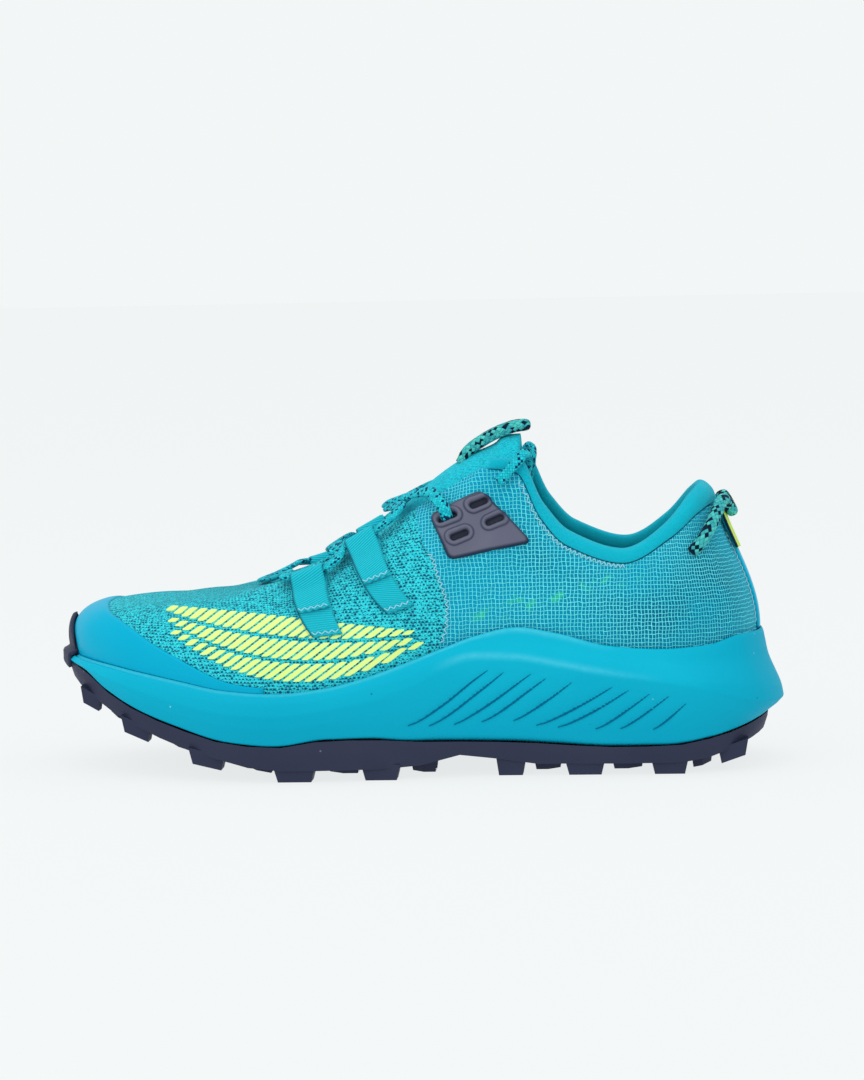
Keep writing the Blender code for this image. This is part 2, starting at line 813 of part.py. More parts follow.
def patch(name, rows, low_lift, high_lift, colour, roughness=0.6):
    """A closed piece over the upper: rows of (turn, climb) places between two lifts."""
    outer = [[raised(t, c, high_lift) for t, c in row] for row in rows]
    inner = [[raised(t, c, low_lift) for t, c in row] for row in rows]
    return add_object(name, shell_builder(outer, inner, False), colour, roughness)


CAP_FOOT = 0.025
Cap = namedtuple("Cap", "turn edge")
CAP_EDGE = (
    Cap(0.660, 0.040),
    Cap(0.690, 0.050),
    Cap(0.745, 0.110),
    Cap(0.800, 0.185),
    Cap(0.840, 0.250),
    Cap(0.880, 0.310),
    Cap(0.940, 0.390),
    Cap(1.000, 0.430),
)


def toe_cap():
    reach = 1 - CAP_EDGE[0].turn
    rows = []
    for n in range(-12, 13):
        turn = 1 - reach * abs(n) / 12
        edge = follow(CAP_EDGE, "edge", "turn", turn)
        side_turn = turn if n >= 0 else -turn
        rows.append([(side_turn, CAP_FOOT + (edge - CAP_FOOT) * k / 4) for k in range(5)])
    low = 1.7 * GAP
    patch("toe_cap", rows, low, low + CAP_THICKNESS, (0.0, 0.42, 0.63), 0.45)


BUMPER_TURN = 0.945
BUMPER_CLIMB = 0.21
BUMPER_THICKNESS = 0.0018


def toe_bumper():
    """Rubber that stands before the tips of the outsole and midsole and laps on to the toe cap."""
    under = 3 * GAP + CAP_THICKNESS
    outer = []
    inner = []
    for n in range(-6, 7):
        share = 1 - abs(n) / 6
        turn = (1 if n >= 0 else -1) * (BUMPER_TURN + (1 - BUMPER_TURN) * share)
        thick = BUMPER_THICKNESS * (0.35 + 0.65 * share)
        top = 0.03 + (BUMPER_CLIMB - 0.03) * math.sqrt(share)
        back = min(foot_inset(turn), inset("low_in", turn)) - GAP
        bottom = foot_height(turn) - 1.5 * SHEET_EDGE
        shoulder = height("rim", turn) + 2 * GAP
        lap = [CAP_FOOT + (top - CAP_FOOT) * k / 3 for k in range(4)]
        outer.append(
            [around(turn, back - thick, bottom), around(turn, back - thick, shoulder)]
            + [raised(turn, c, under + thick) for c in lap]
        )
        inner.append(
            [around(turn, back, bottom), around(turn, back, shoulder)]
            + [raised(turn, c, under) for c in lap]
        )
    add_object("toe_bumper", shell_builder(outer, inner, False), (0.035, 0.045, 0.075))


STRIP_TURN = 0.036


def heel_strip():
    rows = []
    for n in range(-2, 3):
        turn = STRIP_TURN * n / 2
        top = cuff_foot(turn)
        rows.append([(turn, 0.03 + (top - 0.045) * k / 6) for k in range(7)])
    patch("heel_strip", rows, GAP, GAP + CAP_THICKNESS, (0.0, 0.36, 0.58), 0.45)


PLATE_THICKNESS = 0.0015
PLATE_SEAT = 1.8 * GAP
RIM_LIFT = 0.0008
SLOT_LENGTH = 0.0074
SLOT_WIDTH = 0.0027
SLOT_BORDER = 0.0016
SLOT_TILT = 25
PLATE_CORNERS = ((0.560, 0.81), (0.495, 0.81), (0.420, 0.68), (0.495, 0.47))
SLOTS = ((0.490, 0.735), (0.521, 0.705), (0.463, 0.640), (0.495, 0.585))


def between(corners, a, b):
    """A place inside four corners, at shares a along the top edge and b down."""
    top = [(1 - a) * p + a * q for p, q in zip(corners[0], corners[1])]
    low = [(1 - a) * p + a * q for p, q in zip(corners[3], corners[2])]
    return [(1 - b) * p + b * q for p, q in zip(top, low)]


def add_slot_prism(builder, sign, place, length, width, low, high):
    """A block with round ends, standing on the upper at a place."""
    turn, climb = place
    centre = skin(sign * turn, climb)
    normal = skin_outward(sign * turn, climb)
    tilt = math.radians(SLOT_TILT)
    slope = Vector((-math.cos(tilt), 0, math.sin(tilt)))
    along = (slope - normal * slope.dot(normal)).normalized()
    across = normal.cross(along)
    radius = 0.5 * width
    rows = []
    for lift in (low, high):
        row = []
        for n in range(8):
            angle = math.radians(-90 + 180 * (n % 4) / 3)
            end = 1 if n < 4 else -1
            x = end * (0.5 * length - radius + radius * math.cos(angle))
            y = end * radius * math.sin(angle)
            row.append(builder.verts.new(centre + along * x + across * y + normal * lift))
        rows.append(row)
    join_rows(builder, rows[0], rows[1], True)
    builder.faces.new(rows[0])
    builder.faces.new(rows[1])


def eyelet_plate(name, sign):
    rows = []
    steps = 8
    for n in range(steps + 1):
        row = []
        for k in range(steps + 1):
            a = n / steps
            b = k / steps
            if n in (0, steps) and k in (0, steps):
                a += 0.05 * (1 if n == 0 else -1)
                b += 0.05 * (1 if k == 0 else -1)
            turn, climb = between(PLATE_CORNERS, a, b)
            row.append((sign * turn, climb))
        rows.append(row)
    plate = patch(name, rows, PLATE_SEAT, GAP + PLATE_THICKNESS, (0.12, 0.14, 0.20), 0.5)
    borders = bmesh.new()
    holes = bmesh.new()
    for place in SLOTS:
        border = 2 * SLOT_BORDER
        top = GAP + PLATE_THICKNESS + RIM_LIFT
        low = GAP + 0.5 * PLATE_THICKNESS
        add_slot_prism(borders, sign, place, SLOT_LENGTH + border, SLOT_WIDTH + border, low, top)
        add_slot_prism(holes, sign, place, SLOT_LENGTH, SLOT_WIDTH, -top, 2 * top)
    combine(plate, add_helper(name + "_borders", borders), "UNION")
    combine(plate, add_helper(name + "_slots", holes), "DIFFERENCE")


# The folded webbing that carries the lace: four places on the upper, at the foot's front and
# rear and at the top's front and rear.
BAND_THICKNESS = 0.0012
BAND_LOOP_RADIUS = 0.0026
BAND_FOLD = 0.60
Band = namedtuple("Band", "name top_front top_rear low_rear low_front")
BANDS = (
    Band("lace_loop_front", (0.712, 0.69), (0.669, 0.71), (0.590, 0.30), (0.625, 0.32)),
    Band("lace_loop_rear", (0.665, 0.84), (0.631, 0.86), (0.515, 0.30), (0.545, 0.32)),
)


def band_grid(band, sign):
    """The middle face of the webbing: up the wall, round the lace's loop and down again."""
    corners = (band.top_front, band.top_rear, band.low_rear, band.low_front)
    first = GAP + 0.5 * BAND_THICKNESS
    second = first + BAND_THICKNESS + GAP

    def spot(a, b, lift):
        turn, climb = between(corners, a, b)
        return raised(sign * turn, climb, lift)

    shares = (0.0, 0.5, 1.0)
    grid = [[spot(a, b, first) for a in shares] for b in (1.0, 0.83, 0.66, 0.5, 0.33, 0.17, 0.0)]
    loop = []
    for degrees in (-45, 0, 45, 90, 125):
        angle = math.radians(degrees)
        row = []
        for a in shares:
            top = spot(a, 0.0, first)
            normal = (spot(a, 0.0, 2 * first) - top).normalized()
            up = (top - spot(a, 0.05, first)).normalized()
            ahead = BAND_LOOP_RADIUS * math.cos(angle)
            rise = BAND_LOOP_RADIUS * (1 + math.sin(angle))
            row.append(top + up * ahead + normal * rise)
        loop.append(row)
    folded = ((0.13, second + 0.5 * BAND_LOOP_RADIUS), (0.22, second), (0.4, second), (BAND_FOLD, second))
    back = [[spot(a, b, lift) for a in shares] for b, lift in folded]
    return grid + loop + back


def lace_loop(band, side_name, sign):
    grid = band_grid(band, sign)
    outer = offset_grid(grid, 0.5 * BAND_THICKNESS)
    inner = offset_grid(grid, -0.5 * BAND_THICKNESS)
    name = band.name + "_" + side_name
    add_object(name, shell_builder(outer, inner, False), (0.02, 0.35, 0.52), 0.8)


# The lace over the throat: flat braid laid on the pieces below it

LACE_WIDTH = 0.0048
LACE_THICKNESS = 0.0016
LACE_CLEAR = 0.0006


def smooth_path(points, steps):
    """A curve through the points, with steps pieces between each two."""
    ends = [points[0] * 2 - points[1]] + list(points) + [points[-1] * 2 - points[-2]]
    path = []
    for k in range(1, len(ends) - 2):
        a, b, c, d = ends[k - 1 : k + 3]
        for n in range(steps):
            t = n / steps
            path.append(
                0.5
                * (
                    2 * b
                    + (c - a) * t
                    + (2 * a - 5 * b + 4 * c - d) * t**2
                    + (3 * b - 3 * c + d - a) * t**3
                )
            )
    path.append(points[-1].copy())
    return path


def on_skin(turn, climb, lift):
    return raised(turn, climb, lift), skin_outward(turn, climb)


def on_crown(station, lift):
    """A place over the middle of the tongue."""
    height_here = instep(follow(CROWNS, "height", "station", station))
    point = Vector(((station - 0.5) * LENGTH, 0, height_here))
    step = 0.02
    ahead = instep(follow(CROWNS, "height", "station", station + step))
    normal = Vector(((height_here - ahead) / (step * LENGTH), 0, 1)).normalized()
    return point + normal * lift, normal


def ribbon_builder(places):
    """A flat band through (point, outward) places."""
    steps = 3
    path = smooth_path([place[0] for place in places], steps)
    facing = smooth_path([place[1] for place in places], steps)
    builder = bmesh.new()
    rows = []
    for n, point in enumerate(path):
        along = path[min(n + 1, len(path) - 1)] - path[max(n - 1, 0)]
        across = along.cross(facing[n]).normalized()
        normal = across.cross(along).normalized()
        corners = (
            (0.5, 0.0),
            (0.32, 0.5),
            (-0.32, 0.5),
            (-0.5, 0.0),
            (-0.32, -0.5),
            (0.32, -0.5),
        )
        rows.append(
            [
                builder.verts.new(point + across * a * LACE_WIDTH + normal * b * LACE_THICKNESS)
                for a, b in corners
            ]
        )
    for first, second in zip(rows, rows[1:]):
        join_rows(builder, first, second, True)
    builder.faces.new(rows[0])
    builder.faces.new(rows[-1])
    return builder


LACE_LIFT = GAP + 0.5 * LACE_THICKNESS + LACE_CLEAR
BAND_LIFT = GAP + BAND_THICKNESS + BAND_LOOP_RADIUS
PLATE_LIFT = GAP + PLATE_THICKNESS + RIM_LIFT + LACE_LIFT


def bar_places():
    half = [
        on_skin(0.731, 0.725, BAND_LIFT),
        on_skin(0.768, 0.83, 1.4 * LACE_LIFT),
        on_skin(0.870, 0.935, LACE_LIFT),
        on_skin(1.000, 0.955, LACE_LIFT),
    ]
    other = [
        on_skin(-0.870, 0.935, LACE_LIFT),
        on_skin(-0.768, 0.83, 1.4 * LACE_LIFT),
        on_skin(-0.731, 0.725, BAND_LIFT),
    ]
    return half + other


def front_places(sign, over):
    return [
        on_skin(sign * 0.661, 0.75, BAND_LIFT),
        on_skin(sign * 0.699, 0.93, 2.4 * LACE_LIFT),
        on_crown(0.607, 2.1 * LACE_LIFT + over),
        on_skin(-sign * 0.708, 0.955, 2.4 * LACE_LIFT),
        on_skin(-sign * 0.693, 0.87, BAND_LIFT),
    ]


def rear_places(sign, over):
    return [
        on_skin(sign * 0.621, 0.89, BAND_LIFT),
        on_skin(sign * 0.622, 1.00, 2.2 * LACE_LIFT),
        on_crown(0.528, 2.0 * LACE_LIFT + over),
        on_skin(-sign * 0.590, 1.00, 2.2 * LACE_LIFT),
        on_skin(-sign * 0.556, 0.87, PLATE_LIFT),
        on_skin(-sign * 0.526, 0.75, PLATE_LIFT),
    ]


def laces():
    colour = (0.02, 0.36, 0.56)
    add_object("lace_bar", ribbon_builder(bar_places()), colour, 0.8)
    for name, places in (("lace_cross_front", front_places), ("lace_cross_rear", rear_places)):
        lower = add_object(name, ribbon_builder(places(1, 0.0)), colour, 0.8)
        upper_half = add_helper(name + "_upper", ribbon_builder(places(-1, 0.8 * LACE_THICKNESS)))
        combine(lower, upper_half, "UNION")


# The braided rope loops and the heel's tag

ROPE_RADIUS = 0.0023
ROPE_LIFT = ROPE_RADIUS + GAP


def tube(name, points, radius, colour):
    """A round cord through the points, with closed ends."""
    path = smooth_path(points, 4)
    curve = bpy.data.curves.new(name, "CURVE")
    curve.dimensions = "3D"
    curve.bevel_depth = radius
    curve.bevel_resolution = 2
    curve.use_fill_caps = True
    spline = curve.splines.new("POLY")
    spline.points.add(len(path) - 1)
    for point, place in zip(spline.points, path):
        point.co = (*place, 1)
    obj = bpy.data.objects.new(name, curve)
    bpy.context.scene.collection.objects.link(obj)
    add_material(obj, colour, 0.85)


def tongue_pull_loop():
    spread = 1.4 * ROPE_RADIUS
    legs = (
        (0.420, 0.66 * ROPE_LIFT, 1.0),
        (0.388, 1.05 * ROPE_LIFT, 1.1),
        (0.362, 1.35 * ROPE_LIFT, 0.95),
    )

    def leg_point(station, lift, width, sign):
        return on_crown(station, lift)[0] + Vector((0, sign * width * spread, 0))

    points = [leg_point(*leg, 1) for leg in legs]
    points.append(on_crown(0.346, 1.5 * ROPE_LIFT)[0])
    points += [leg_point(*leg, -1) for leg in legs[::-1]]
    tube("tongue_pull_loop", points, ROPE_RADIUS, (0.03, 0.30, 0.42))


HEEL_ROPE = ((0.175, 0.71, 1.1), (0.130, 0.79, 1.15), (0.078, 0.86, 1.2), (0.036, 0.85, 1.25))


def heel_pull_loop():
    def rope_point(turn, climb, lift):
        return raised(turn, climb, lift * ROPE_LIFT + 0.2 * CUFF_THICKNESS)

    points = [rope_point(t, c, lift) for t, c, lift in HEEL_ROPE]
    points.append(rope_point(0.0, 0.735, 1.15))
    points += [rope_point(-t, c, lift) for t, c, lift in HEEL_ROPE[::-1]]
    tube("heel_pull_loop", points, ROPE_RADIUS, (0.02, 0.20, 0.30))


# The lateral end of the lace, from the plate's upper edge over the collar into the shoe. The
# medial end is its mirror image.
LACE_END_RADIUS = 0.0017
LACE_END = (
    (-0.0338, 0.0256, 0.1097),
    (-0.0375, 0.0250, 0.1136),
    (-0.0410, 0.0246, 0.1172),
    (-0.0434, 0.0222, 0.1199),
    (-0.0448, 0.0180, 0.1196),
    (-0.0452, 0.0145, 0.1160),
    (-0.0445, 0.0140, 0.1110),
    (-0.0430, 0.0150, 0.1050),
)


def lace_end(side_name, sign):
    points = [Vector((x, sign * y, z)) for x, y, z in LACE_END]
    tube("lace_end_" + side_name, points, LACE_END_RADIUS, (0.02, 0.36, 0.56))


TAG_TURN = 0.026
TAG_THICKNESS = 0.001


def heel_tag():
    """A tab that laps over the middle of the heel's rope and is sewn down below it."""
    strip = 2 * GAP + CAP_THICKNESS
    over = strip + 2.05 * ROPE_LIFT + 0.2 * CUFF_THICKNESS
    low = strip + 0.5 * TAG_THICKNESS
    rows = ((0.78, over), (0.735, over), (0.69, over - 0.8 * ROPE_LIFT), (0.635, low), (0.565, low))
    grid = [
        [raised(TAG_TURN * n / 2, climb, lift) for n in range(-2, 3)] for climb, lift in rows
    ]
    outer = offset_grid(grid, -0.5 * TAG_THICKNESS)
    inner = offset_grid(grid, 0.5 * TAG_THICKNESS)
    add_object("heel_tag", shell_builder(outer, inner, False), (0.55, 0.90, 0.10), 0.6)


clear_scene()
outsole()
midsole()
insole()
upper()
toe_cap()
toe_bumper()
collar_cuff()
heel_strip()
tongue()
for side_name, side_sign in (("lateral", 1), ("medial", -1)):
    eyelet_plate("eyelet_plate_" + side_name, side_sign)
    for one_band in BANDS:
        lace_loop(one_band, side_name, side_sign)
    lace_end(side_name, side_sign)
laces()
tongue_pull_loop()
heel_pull_loop()
heel_tag()
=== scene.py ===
"""The looks of a left trail running shoe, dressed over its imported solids.

Metres, +Z up, +X to the toe and +Y to the outer (lateral) side, as in the frame. A place round
the shoe is a turn: 0 at the back of the heel, 1 at the tip of the toe, minus on the medial side.
A place up the upper's wall is a climb: 0 at the midsole's rim, 1 at the collar or throat.
"""

import json
import math
from collections import namedtuple
from functools import lru_cache

import bmesh
import bpy
from mathutils import Matrix, Vector
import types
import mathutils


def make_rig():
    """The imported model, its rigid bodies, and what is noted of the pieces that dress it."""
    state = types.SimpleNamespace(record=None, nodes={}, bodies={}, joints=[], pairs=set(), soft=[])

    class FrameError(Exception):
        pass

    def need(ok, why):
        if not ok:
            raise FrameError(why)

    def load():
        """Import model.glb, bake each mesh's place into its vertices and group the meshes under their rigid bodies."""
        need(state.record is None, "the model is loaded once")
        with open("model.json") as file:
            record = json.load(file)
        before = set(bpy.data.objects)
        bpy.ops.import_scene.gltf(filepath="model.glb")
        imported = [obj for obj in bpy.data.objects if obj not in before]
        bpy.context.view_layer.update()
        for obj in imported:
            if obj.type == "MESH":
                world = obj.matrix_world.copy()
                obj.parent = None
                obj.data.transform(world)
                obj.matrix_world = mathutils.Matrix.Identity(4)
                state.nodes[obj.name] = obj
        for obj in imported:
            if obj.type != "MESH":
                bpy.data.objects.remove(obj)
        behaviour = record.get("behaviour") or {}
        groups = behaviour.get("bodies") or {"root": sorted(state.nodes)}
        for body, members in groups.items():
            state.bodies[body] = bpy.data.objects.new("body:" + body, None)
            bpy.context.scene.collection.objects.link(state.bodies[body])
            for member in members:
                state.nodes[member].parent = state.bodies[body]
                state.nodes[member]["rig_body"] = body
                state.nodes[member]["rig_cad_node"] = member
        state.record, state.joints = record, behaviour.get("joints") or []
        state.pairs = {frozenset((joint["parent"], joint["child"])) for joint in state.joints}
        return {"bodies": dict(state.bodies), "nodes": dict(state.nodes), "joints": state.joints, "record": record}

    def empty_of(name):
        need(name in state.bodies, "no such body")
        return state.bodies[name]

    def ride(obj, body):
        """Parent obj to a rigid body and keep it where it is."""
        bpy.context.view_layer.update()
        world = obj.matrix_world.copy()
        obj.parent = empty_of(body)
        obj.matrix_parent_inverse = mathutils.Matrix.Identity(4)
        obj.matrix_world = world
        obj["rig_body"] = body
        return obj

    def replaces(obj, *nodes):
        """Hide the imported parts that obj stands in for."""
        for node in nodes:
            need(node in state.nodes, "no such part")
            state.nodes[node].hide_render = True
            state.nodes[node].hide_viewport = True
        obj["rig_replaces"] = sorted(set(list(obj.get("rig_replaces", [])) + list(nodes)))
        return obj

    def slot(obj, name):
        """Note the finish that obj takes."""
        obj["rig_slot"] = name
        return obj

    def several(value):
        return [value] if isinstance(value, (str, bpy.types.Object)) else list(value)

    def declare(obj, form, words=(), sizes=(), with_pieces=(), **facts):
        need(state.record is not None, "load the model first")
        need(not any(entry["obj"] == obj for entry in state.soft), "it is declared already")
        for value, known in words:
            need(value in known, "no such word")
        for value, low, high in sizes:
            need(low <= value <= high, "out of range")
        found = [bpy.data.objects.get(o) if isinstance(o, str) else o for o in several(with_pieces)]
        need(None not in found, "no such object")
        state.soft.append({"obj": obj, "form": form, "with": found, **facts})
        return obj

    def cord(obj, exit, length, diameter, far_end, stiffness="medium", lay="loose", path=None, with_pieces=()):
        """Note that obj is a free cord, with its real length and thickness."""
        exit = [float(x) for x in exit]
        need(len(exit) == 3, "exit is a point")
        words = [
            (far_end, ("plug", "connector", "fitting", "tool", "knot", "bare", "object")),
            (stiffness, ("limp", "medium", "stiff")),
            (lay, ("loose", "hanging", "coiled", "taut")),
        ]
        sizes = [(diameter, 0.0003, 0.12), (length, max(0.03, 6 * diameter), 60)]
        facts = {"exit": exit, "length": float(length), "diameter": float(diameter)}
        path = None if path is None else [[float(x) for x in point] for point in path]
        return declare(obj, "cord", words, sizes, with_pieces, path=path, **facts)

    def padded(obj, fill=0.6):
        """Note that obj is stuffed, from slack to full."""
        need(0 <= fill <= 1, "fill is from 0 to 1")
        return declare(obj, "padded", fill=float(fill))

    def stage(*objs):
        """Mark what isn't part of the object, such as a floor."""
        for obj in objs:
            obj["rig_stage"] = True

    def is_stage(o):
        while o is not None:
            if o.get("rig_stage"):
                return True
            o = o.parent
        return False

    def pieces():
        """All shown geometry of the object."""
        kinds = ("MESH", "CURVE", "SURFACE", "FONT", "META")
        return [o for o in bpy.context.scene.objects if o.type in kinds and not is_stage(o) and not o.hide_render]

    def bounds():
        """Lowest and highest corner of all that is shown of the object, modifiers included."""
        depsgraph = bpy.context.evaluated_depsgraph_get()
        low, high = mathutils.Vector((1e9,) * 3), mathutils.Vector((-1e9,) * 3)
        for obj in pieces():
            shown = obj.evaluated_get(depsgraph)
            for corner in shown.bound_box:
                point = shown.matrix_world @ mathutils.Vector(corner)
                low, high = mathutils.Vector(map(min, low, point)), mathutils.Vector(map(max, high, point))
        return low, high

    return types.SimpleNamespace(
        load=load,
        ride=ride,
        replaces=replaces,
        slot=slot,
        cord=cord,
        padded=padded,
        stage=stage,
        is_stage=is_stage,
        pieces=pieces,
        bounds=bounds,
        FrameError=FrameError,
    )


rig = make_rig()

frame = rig.load()
solid_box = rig.bounds()

# The studio. A pale floor that runs back out of sight, one broad soft light overhead, one wide
# light beside the camera and a fill behind the heel. The camera looks at the lateral side from
# a little behind it and a little above, leaning as the photograph does.

kept = set(frame["nodes"].values()) | set(frame["bodies"].values())
for leftover in [obj for obj in bpy.data.objects if obj not in kept]:
    bpy.data.objects.remove(leftover)
scene = bpy.context.scene
scene.view_settings.view_transform = "Standard"

YAW = math.radians(4.5)
ELEVATION = math.radians(5.5)
ROLL = math.radians(-1.25)
DISTANCE = 1.381
AIM = Vector((-0.0064, 0.0, 0.0858))
STUDIO_PALE = (0.896, 0.922, 0.922, 1)
LIGHT_AIM = Vector((0, 0, 0.05))

camera_data = bpy.data.cameras.new("camera")
camera_data.lens = 120
camera_data.sensor_width = 36
camera_data.clip_start = 0.05
camera = bpy.data.objects.new("camera", camera_data)
scene.collection.objects.link(camera)
back = Vector(
    (
        -math.sin(YAW) * math.cos(ELEVATION),
        math.cos(YAW) * math.cos(ELEVATION),
        math.sin(ELEVATION),
    )
)
camera.location = AIM + back * DISTANCE
facing = back.to_track_quat("Z", "Y").to_matrix() @ Matrix.Rotation(ROLL, 3, "Z")
camera.rotation_euler = facing.to_euler()
scene.camera = camera


def add_node(tree, kind, wires=None, **settings):
    """A shader node with its settings. Each wire is a socket to join or a value to set."""
    node = tree.nodes.new("ShaderNode" + kind)
    for name, value in settings.items():
        setattr(node, name, value)
    for key, value in (wires or {}).items():
        if isinstance(value, bpy.types.NodeSocket):
            tree.links.new(value, node.inputs[key])
        else:
            node.inputs[key].default_value = value
    return node


def new_material(name, roughness, **sockets):
    """A material and its main shader, with the values that are the same all over it."""
    material = bpy.data.materials.new(name)
    material.use_nodes = True
    shader = material.node_tree.nodes["Principled BSDF"]
    shader.inputs["Roughness"].default_value = roughness
    shader.inputs["Specular IOR Level"].default_value = 0.06
    for key, value in sockets.items():
        shader.inputs[key.replace("_", " ")].default_value = value
    return material, material.node_tree, shader


def add_light(name, place, size, power):
    data = bpy.data.lights.new(name, "AREA")
    data.shape = "RECTANGLE"
    data.size = size[0]
    data.size_y = size[1]
    data.energy = power
    obj = bpy.data.objects.new(name, data)
    scene.collection.objects.link(obj)
    obj.location = place
    obj.rotation_euler = (Vector(place) - LIGHT_AIM).to_track_quat("Z", "Y").to_euler()


floor_material, _, floor_shader = new_material("studio_floor", 0.9)
floor_shader.inputs["Base Color"].default_value = (0.12, 0.12, 0.12, 1)
floor_shader.inputs["Specular IOR Level"].default_value = 0.0
floor_shader.inputs["Emission Color"].default_value = STUDIO_PALE
floor_shader.inputs["Emission Strength"].default_value = 0.86
floor_builder = bmesh.new()
bmesh.ops.create_grid(floor_builder, x_segments=8, y_segments=8, size=6)
floor_mesh = bpy.data.meshes.new("studio_floor")
floor_builder.to_mesh(floor_mesh)
floor_builder.free()
floor_mesh.materials.append(floor_material)
floor = bpy.data.objects.new("studio_floor", floor_mesh)
scene.collection.objects.link(floor)
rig.stage(floor)

world = bpy.data.worlds.new("studio")
world.use_nodes = True
background = world.node_tree.nodes["Background"]
background.inputs["Color"].default_value = STUDIO_PALE
background.inputs["Strength"].default_value = 1.0
scene.world = world
add_light("light_overhead", (0.1, 0.25, 1.5), (1.6, 1.2), 5)
add_light("light_camera_side", (0.7, 1.3, 0.75), (1.2, 1.0), 4)
add_light("light_heel", (-1.2, 0.5, 0.9), (0.8, 0.8), 0.5)

# The lace's two loose ends. Each is a flat tubular braid, polyester over a soft core, that comes
# out at the upper edge of its eyelet plate and is tucked over the collar into the shoe. The
# sizes of the shoe that the route needs are the same as the solids'.

LENGTH = 0.280
SOLE_WIDTH = 0.106
SOLE_HEIGHT = 0.050
SOLE_FLARE = 0.008
RIM_WIDTH = 0.0016
UPPER_HEIGHT = 0.0925
COLLAR_WIDTH = 0.057
THROAT_WIDTH = 0.030
WALL = 0.002
GAP = 0.0003
BED_LEVEL = 0.68
LACE_WIDTH = 0.0048
LACE_THICKNESS = 0.0016
LACE_END_WIDTH = 0.0040
LACE_END_THICKNESS = 0.0022
# The point that each end bends round, and its route, on the lateral side.
LACE_END_MIDDLE = (-0.036, 0.012, 0.108)
LACE_END = (
    (-0.0338, 0.0256, 0.1097),
    (-0.0375, 0.0250, 0.1136),
    (-0.0410, 0.0246, 0.1172),
    (-0.0434, 0.0222, 0.1199),
    (-0.0448, 0.0180, 0.1196),
    (-0.0452, 0.0145, 0.1160),
    (-0.0445, 0.0140, 0.1110),
    (-0.0430, 0.0150, 0.1050),
)
BOTH_SIDES = (("lateral", 1), ("medial", -1))


def curve_point(a, b, c, d, t):
    """The point at t, from 0 to 1, between b and c on a smooth curve through the four."""
    bend = 2 * b + (c - a) * t + (2 * a - 5 * b + 4 * c - d) * t**2
    return 0.5 * (bend + (3 * b - 3 * c + d - a) * t**3)


def smooth_path(points, steps):
    """A curve through the points, with steps pieces between each two."""
    ends = [points[0] * 2 - points[1]] + list(points) + [points[-1] * 2 - points[-2]]
    path = []
    for k in range(1, len(ends) - 2):
        path += [curve_point(*ends[k - 1 : k + 3], n / steps) for n in range(steps)]
    path.append(points[-1].copy())
    return path


def calc(tree, operation, *values, clamp=False):
    """The output of a Math node over sockets or numbers."""
    return add_node(
        tree, "Math", dict(enumerate(values)), operation=operation, use_clamp=clamp
    ).outputs[0]


def blend_colour(tree, share, low, high):
    """The output of a colour mix, low where the share is 0 and high where it is 1."""
    return add_node(tree, "Mix", {0: share, 6: low, 7: high}, data_type="RGBA").outputs[2]


def new_group(name, numbers, results):
    """A shader node group over a map and some numbers, with its inner sockets in and out."""
    tree = bpy.data.node_groups.new(name, "ShaderNodeTree")
    tree.interface.new_socket("Map", in_out="INPUT", socket_type="NodeSocketVector")
    for label, value in numbers.items():
        socket = tree.interface.new_socket(label, in_out="INPUT", socket_type="NodeSocketFloat")
        socket.default_value = value
    for label in results:
        tree.interface.new_socket(label, in_out="OUTPUT", socket_type="NodeSocketFloat")
    return tree, tree.nodes.new("NodeGroupInput").outputs, tree.nodes.new("NodeGroupOutput").inputs


def use_group(tree, group, wires):
    return add_node(tree, "Group", wires, node_tree=group).outputs


def cloth_map(tree):
    """The piece's own map, in metres along and across the cloth."""
    return add_node(tree, "UVMap", uv_map="cloth").outputs[0]


def join_finish(tree, shader, tone, height, distance, strength=0.8):
    """Joins a material's colour to its shader, and its relief, a distance in metres deep."""
    tree.links.new(tone, shader.inputs["Base Color"])
    bump = add_node(tree, "Bump", {"Height": height, "Distance": distance, "Strength": strength})
    tree.links.new(bump.outputs[0], shader.inputs["Normal"])


# Plaited yarn: two sets of slanting strands that cross over each other, with a share of them
# in a second colour.
braid, braid_in, braid_out = new_group(
    "braid", {"Across": 0.0, "Along": 0.0, "Fleck": 0.0}, ("Height", "Strand", "Fleck")
)
parts = add_node(braid, "SeparateXYZ", {0: braid_in["Map"]}).outputs
across = calc(braid, "DIVIDE", parts[1], braid_in["Across"])
along = calc(braid, "DIVIDE", parts[0], braid_in["Along"])
left = calc(braid, "ADD", along, across)
right = calc(braid, "SUBTRACT", along, across)
left_wave = calc(braid, "PINGPONG", left, 0.5)
right_wave = calc(braid, "PINGPONG", right, 0.5)
left_cell = calc(braid, "FLOOR", left)
right_cell = calc(braid, "FLOOR", right)
odd = calc(braid, "PINGPONG", calc(braid, "ADD", left_cell, right_cell), 1.0)
strand = calc(
    braid,
    "ADD",
    calc(braid, "MULTIPLY", left_wave, odd),
    calc(braid, "MULTIPLY", right_wave, calc(braid, "SUBTRACT", 1.0, odd)),
)
cells = add_node(braid, "CombineXYZ", {0: left_cell, 1: right_cell}).outputs[0]
chance = add_node(braid, "TexWhiteNoise", {0: cells}, noise_dimensions="2D").outputs[0]
height = calc(braid, "MULTIPLY", strand, 2.0, clamp=True)
braid.links.new(calc(braid, "POWER", height, 0.6), braid_out["Height"])
braid.links.new(chance, braid_out["Strand"])
braid.links.new(calc(braid, "LESS_THAN", chance, braid_in["Fleck"]), braid_out["Fleck"])


BRAID_GAP_TONE = (0.0, 0.05, 0.12, 1)


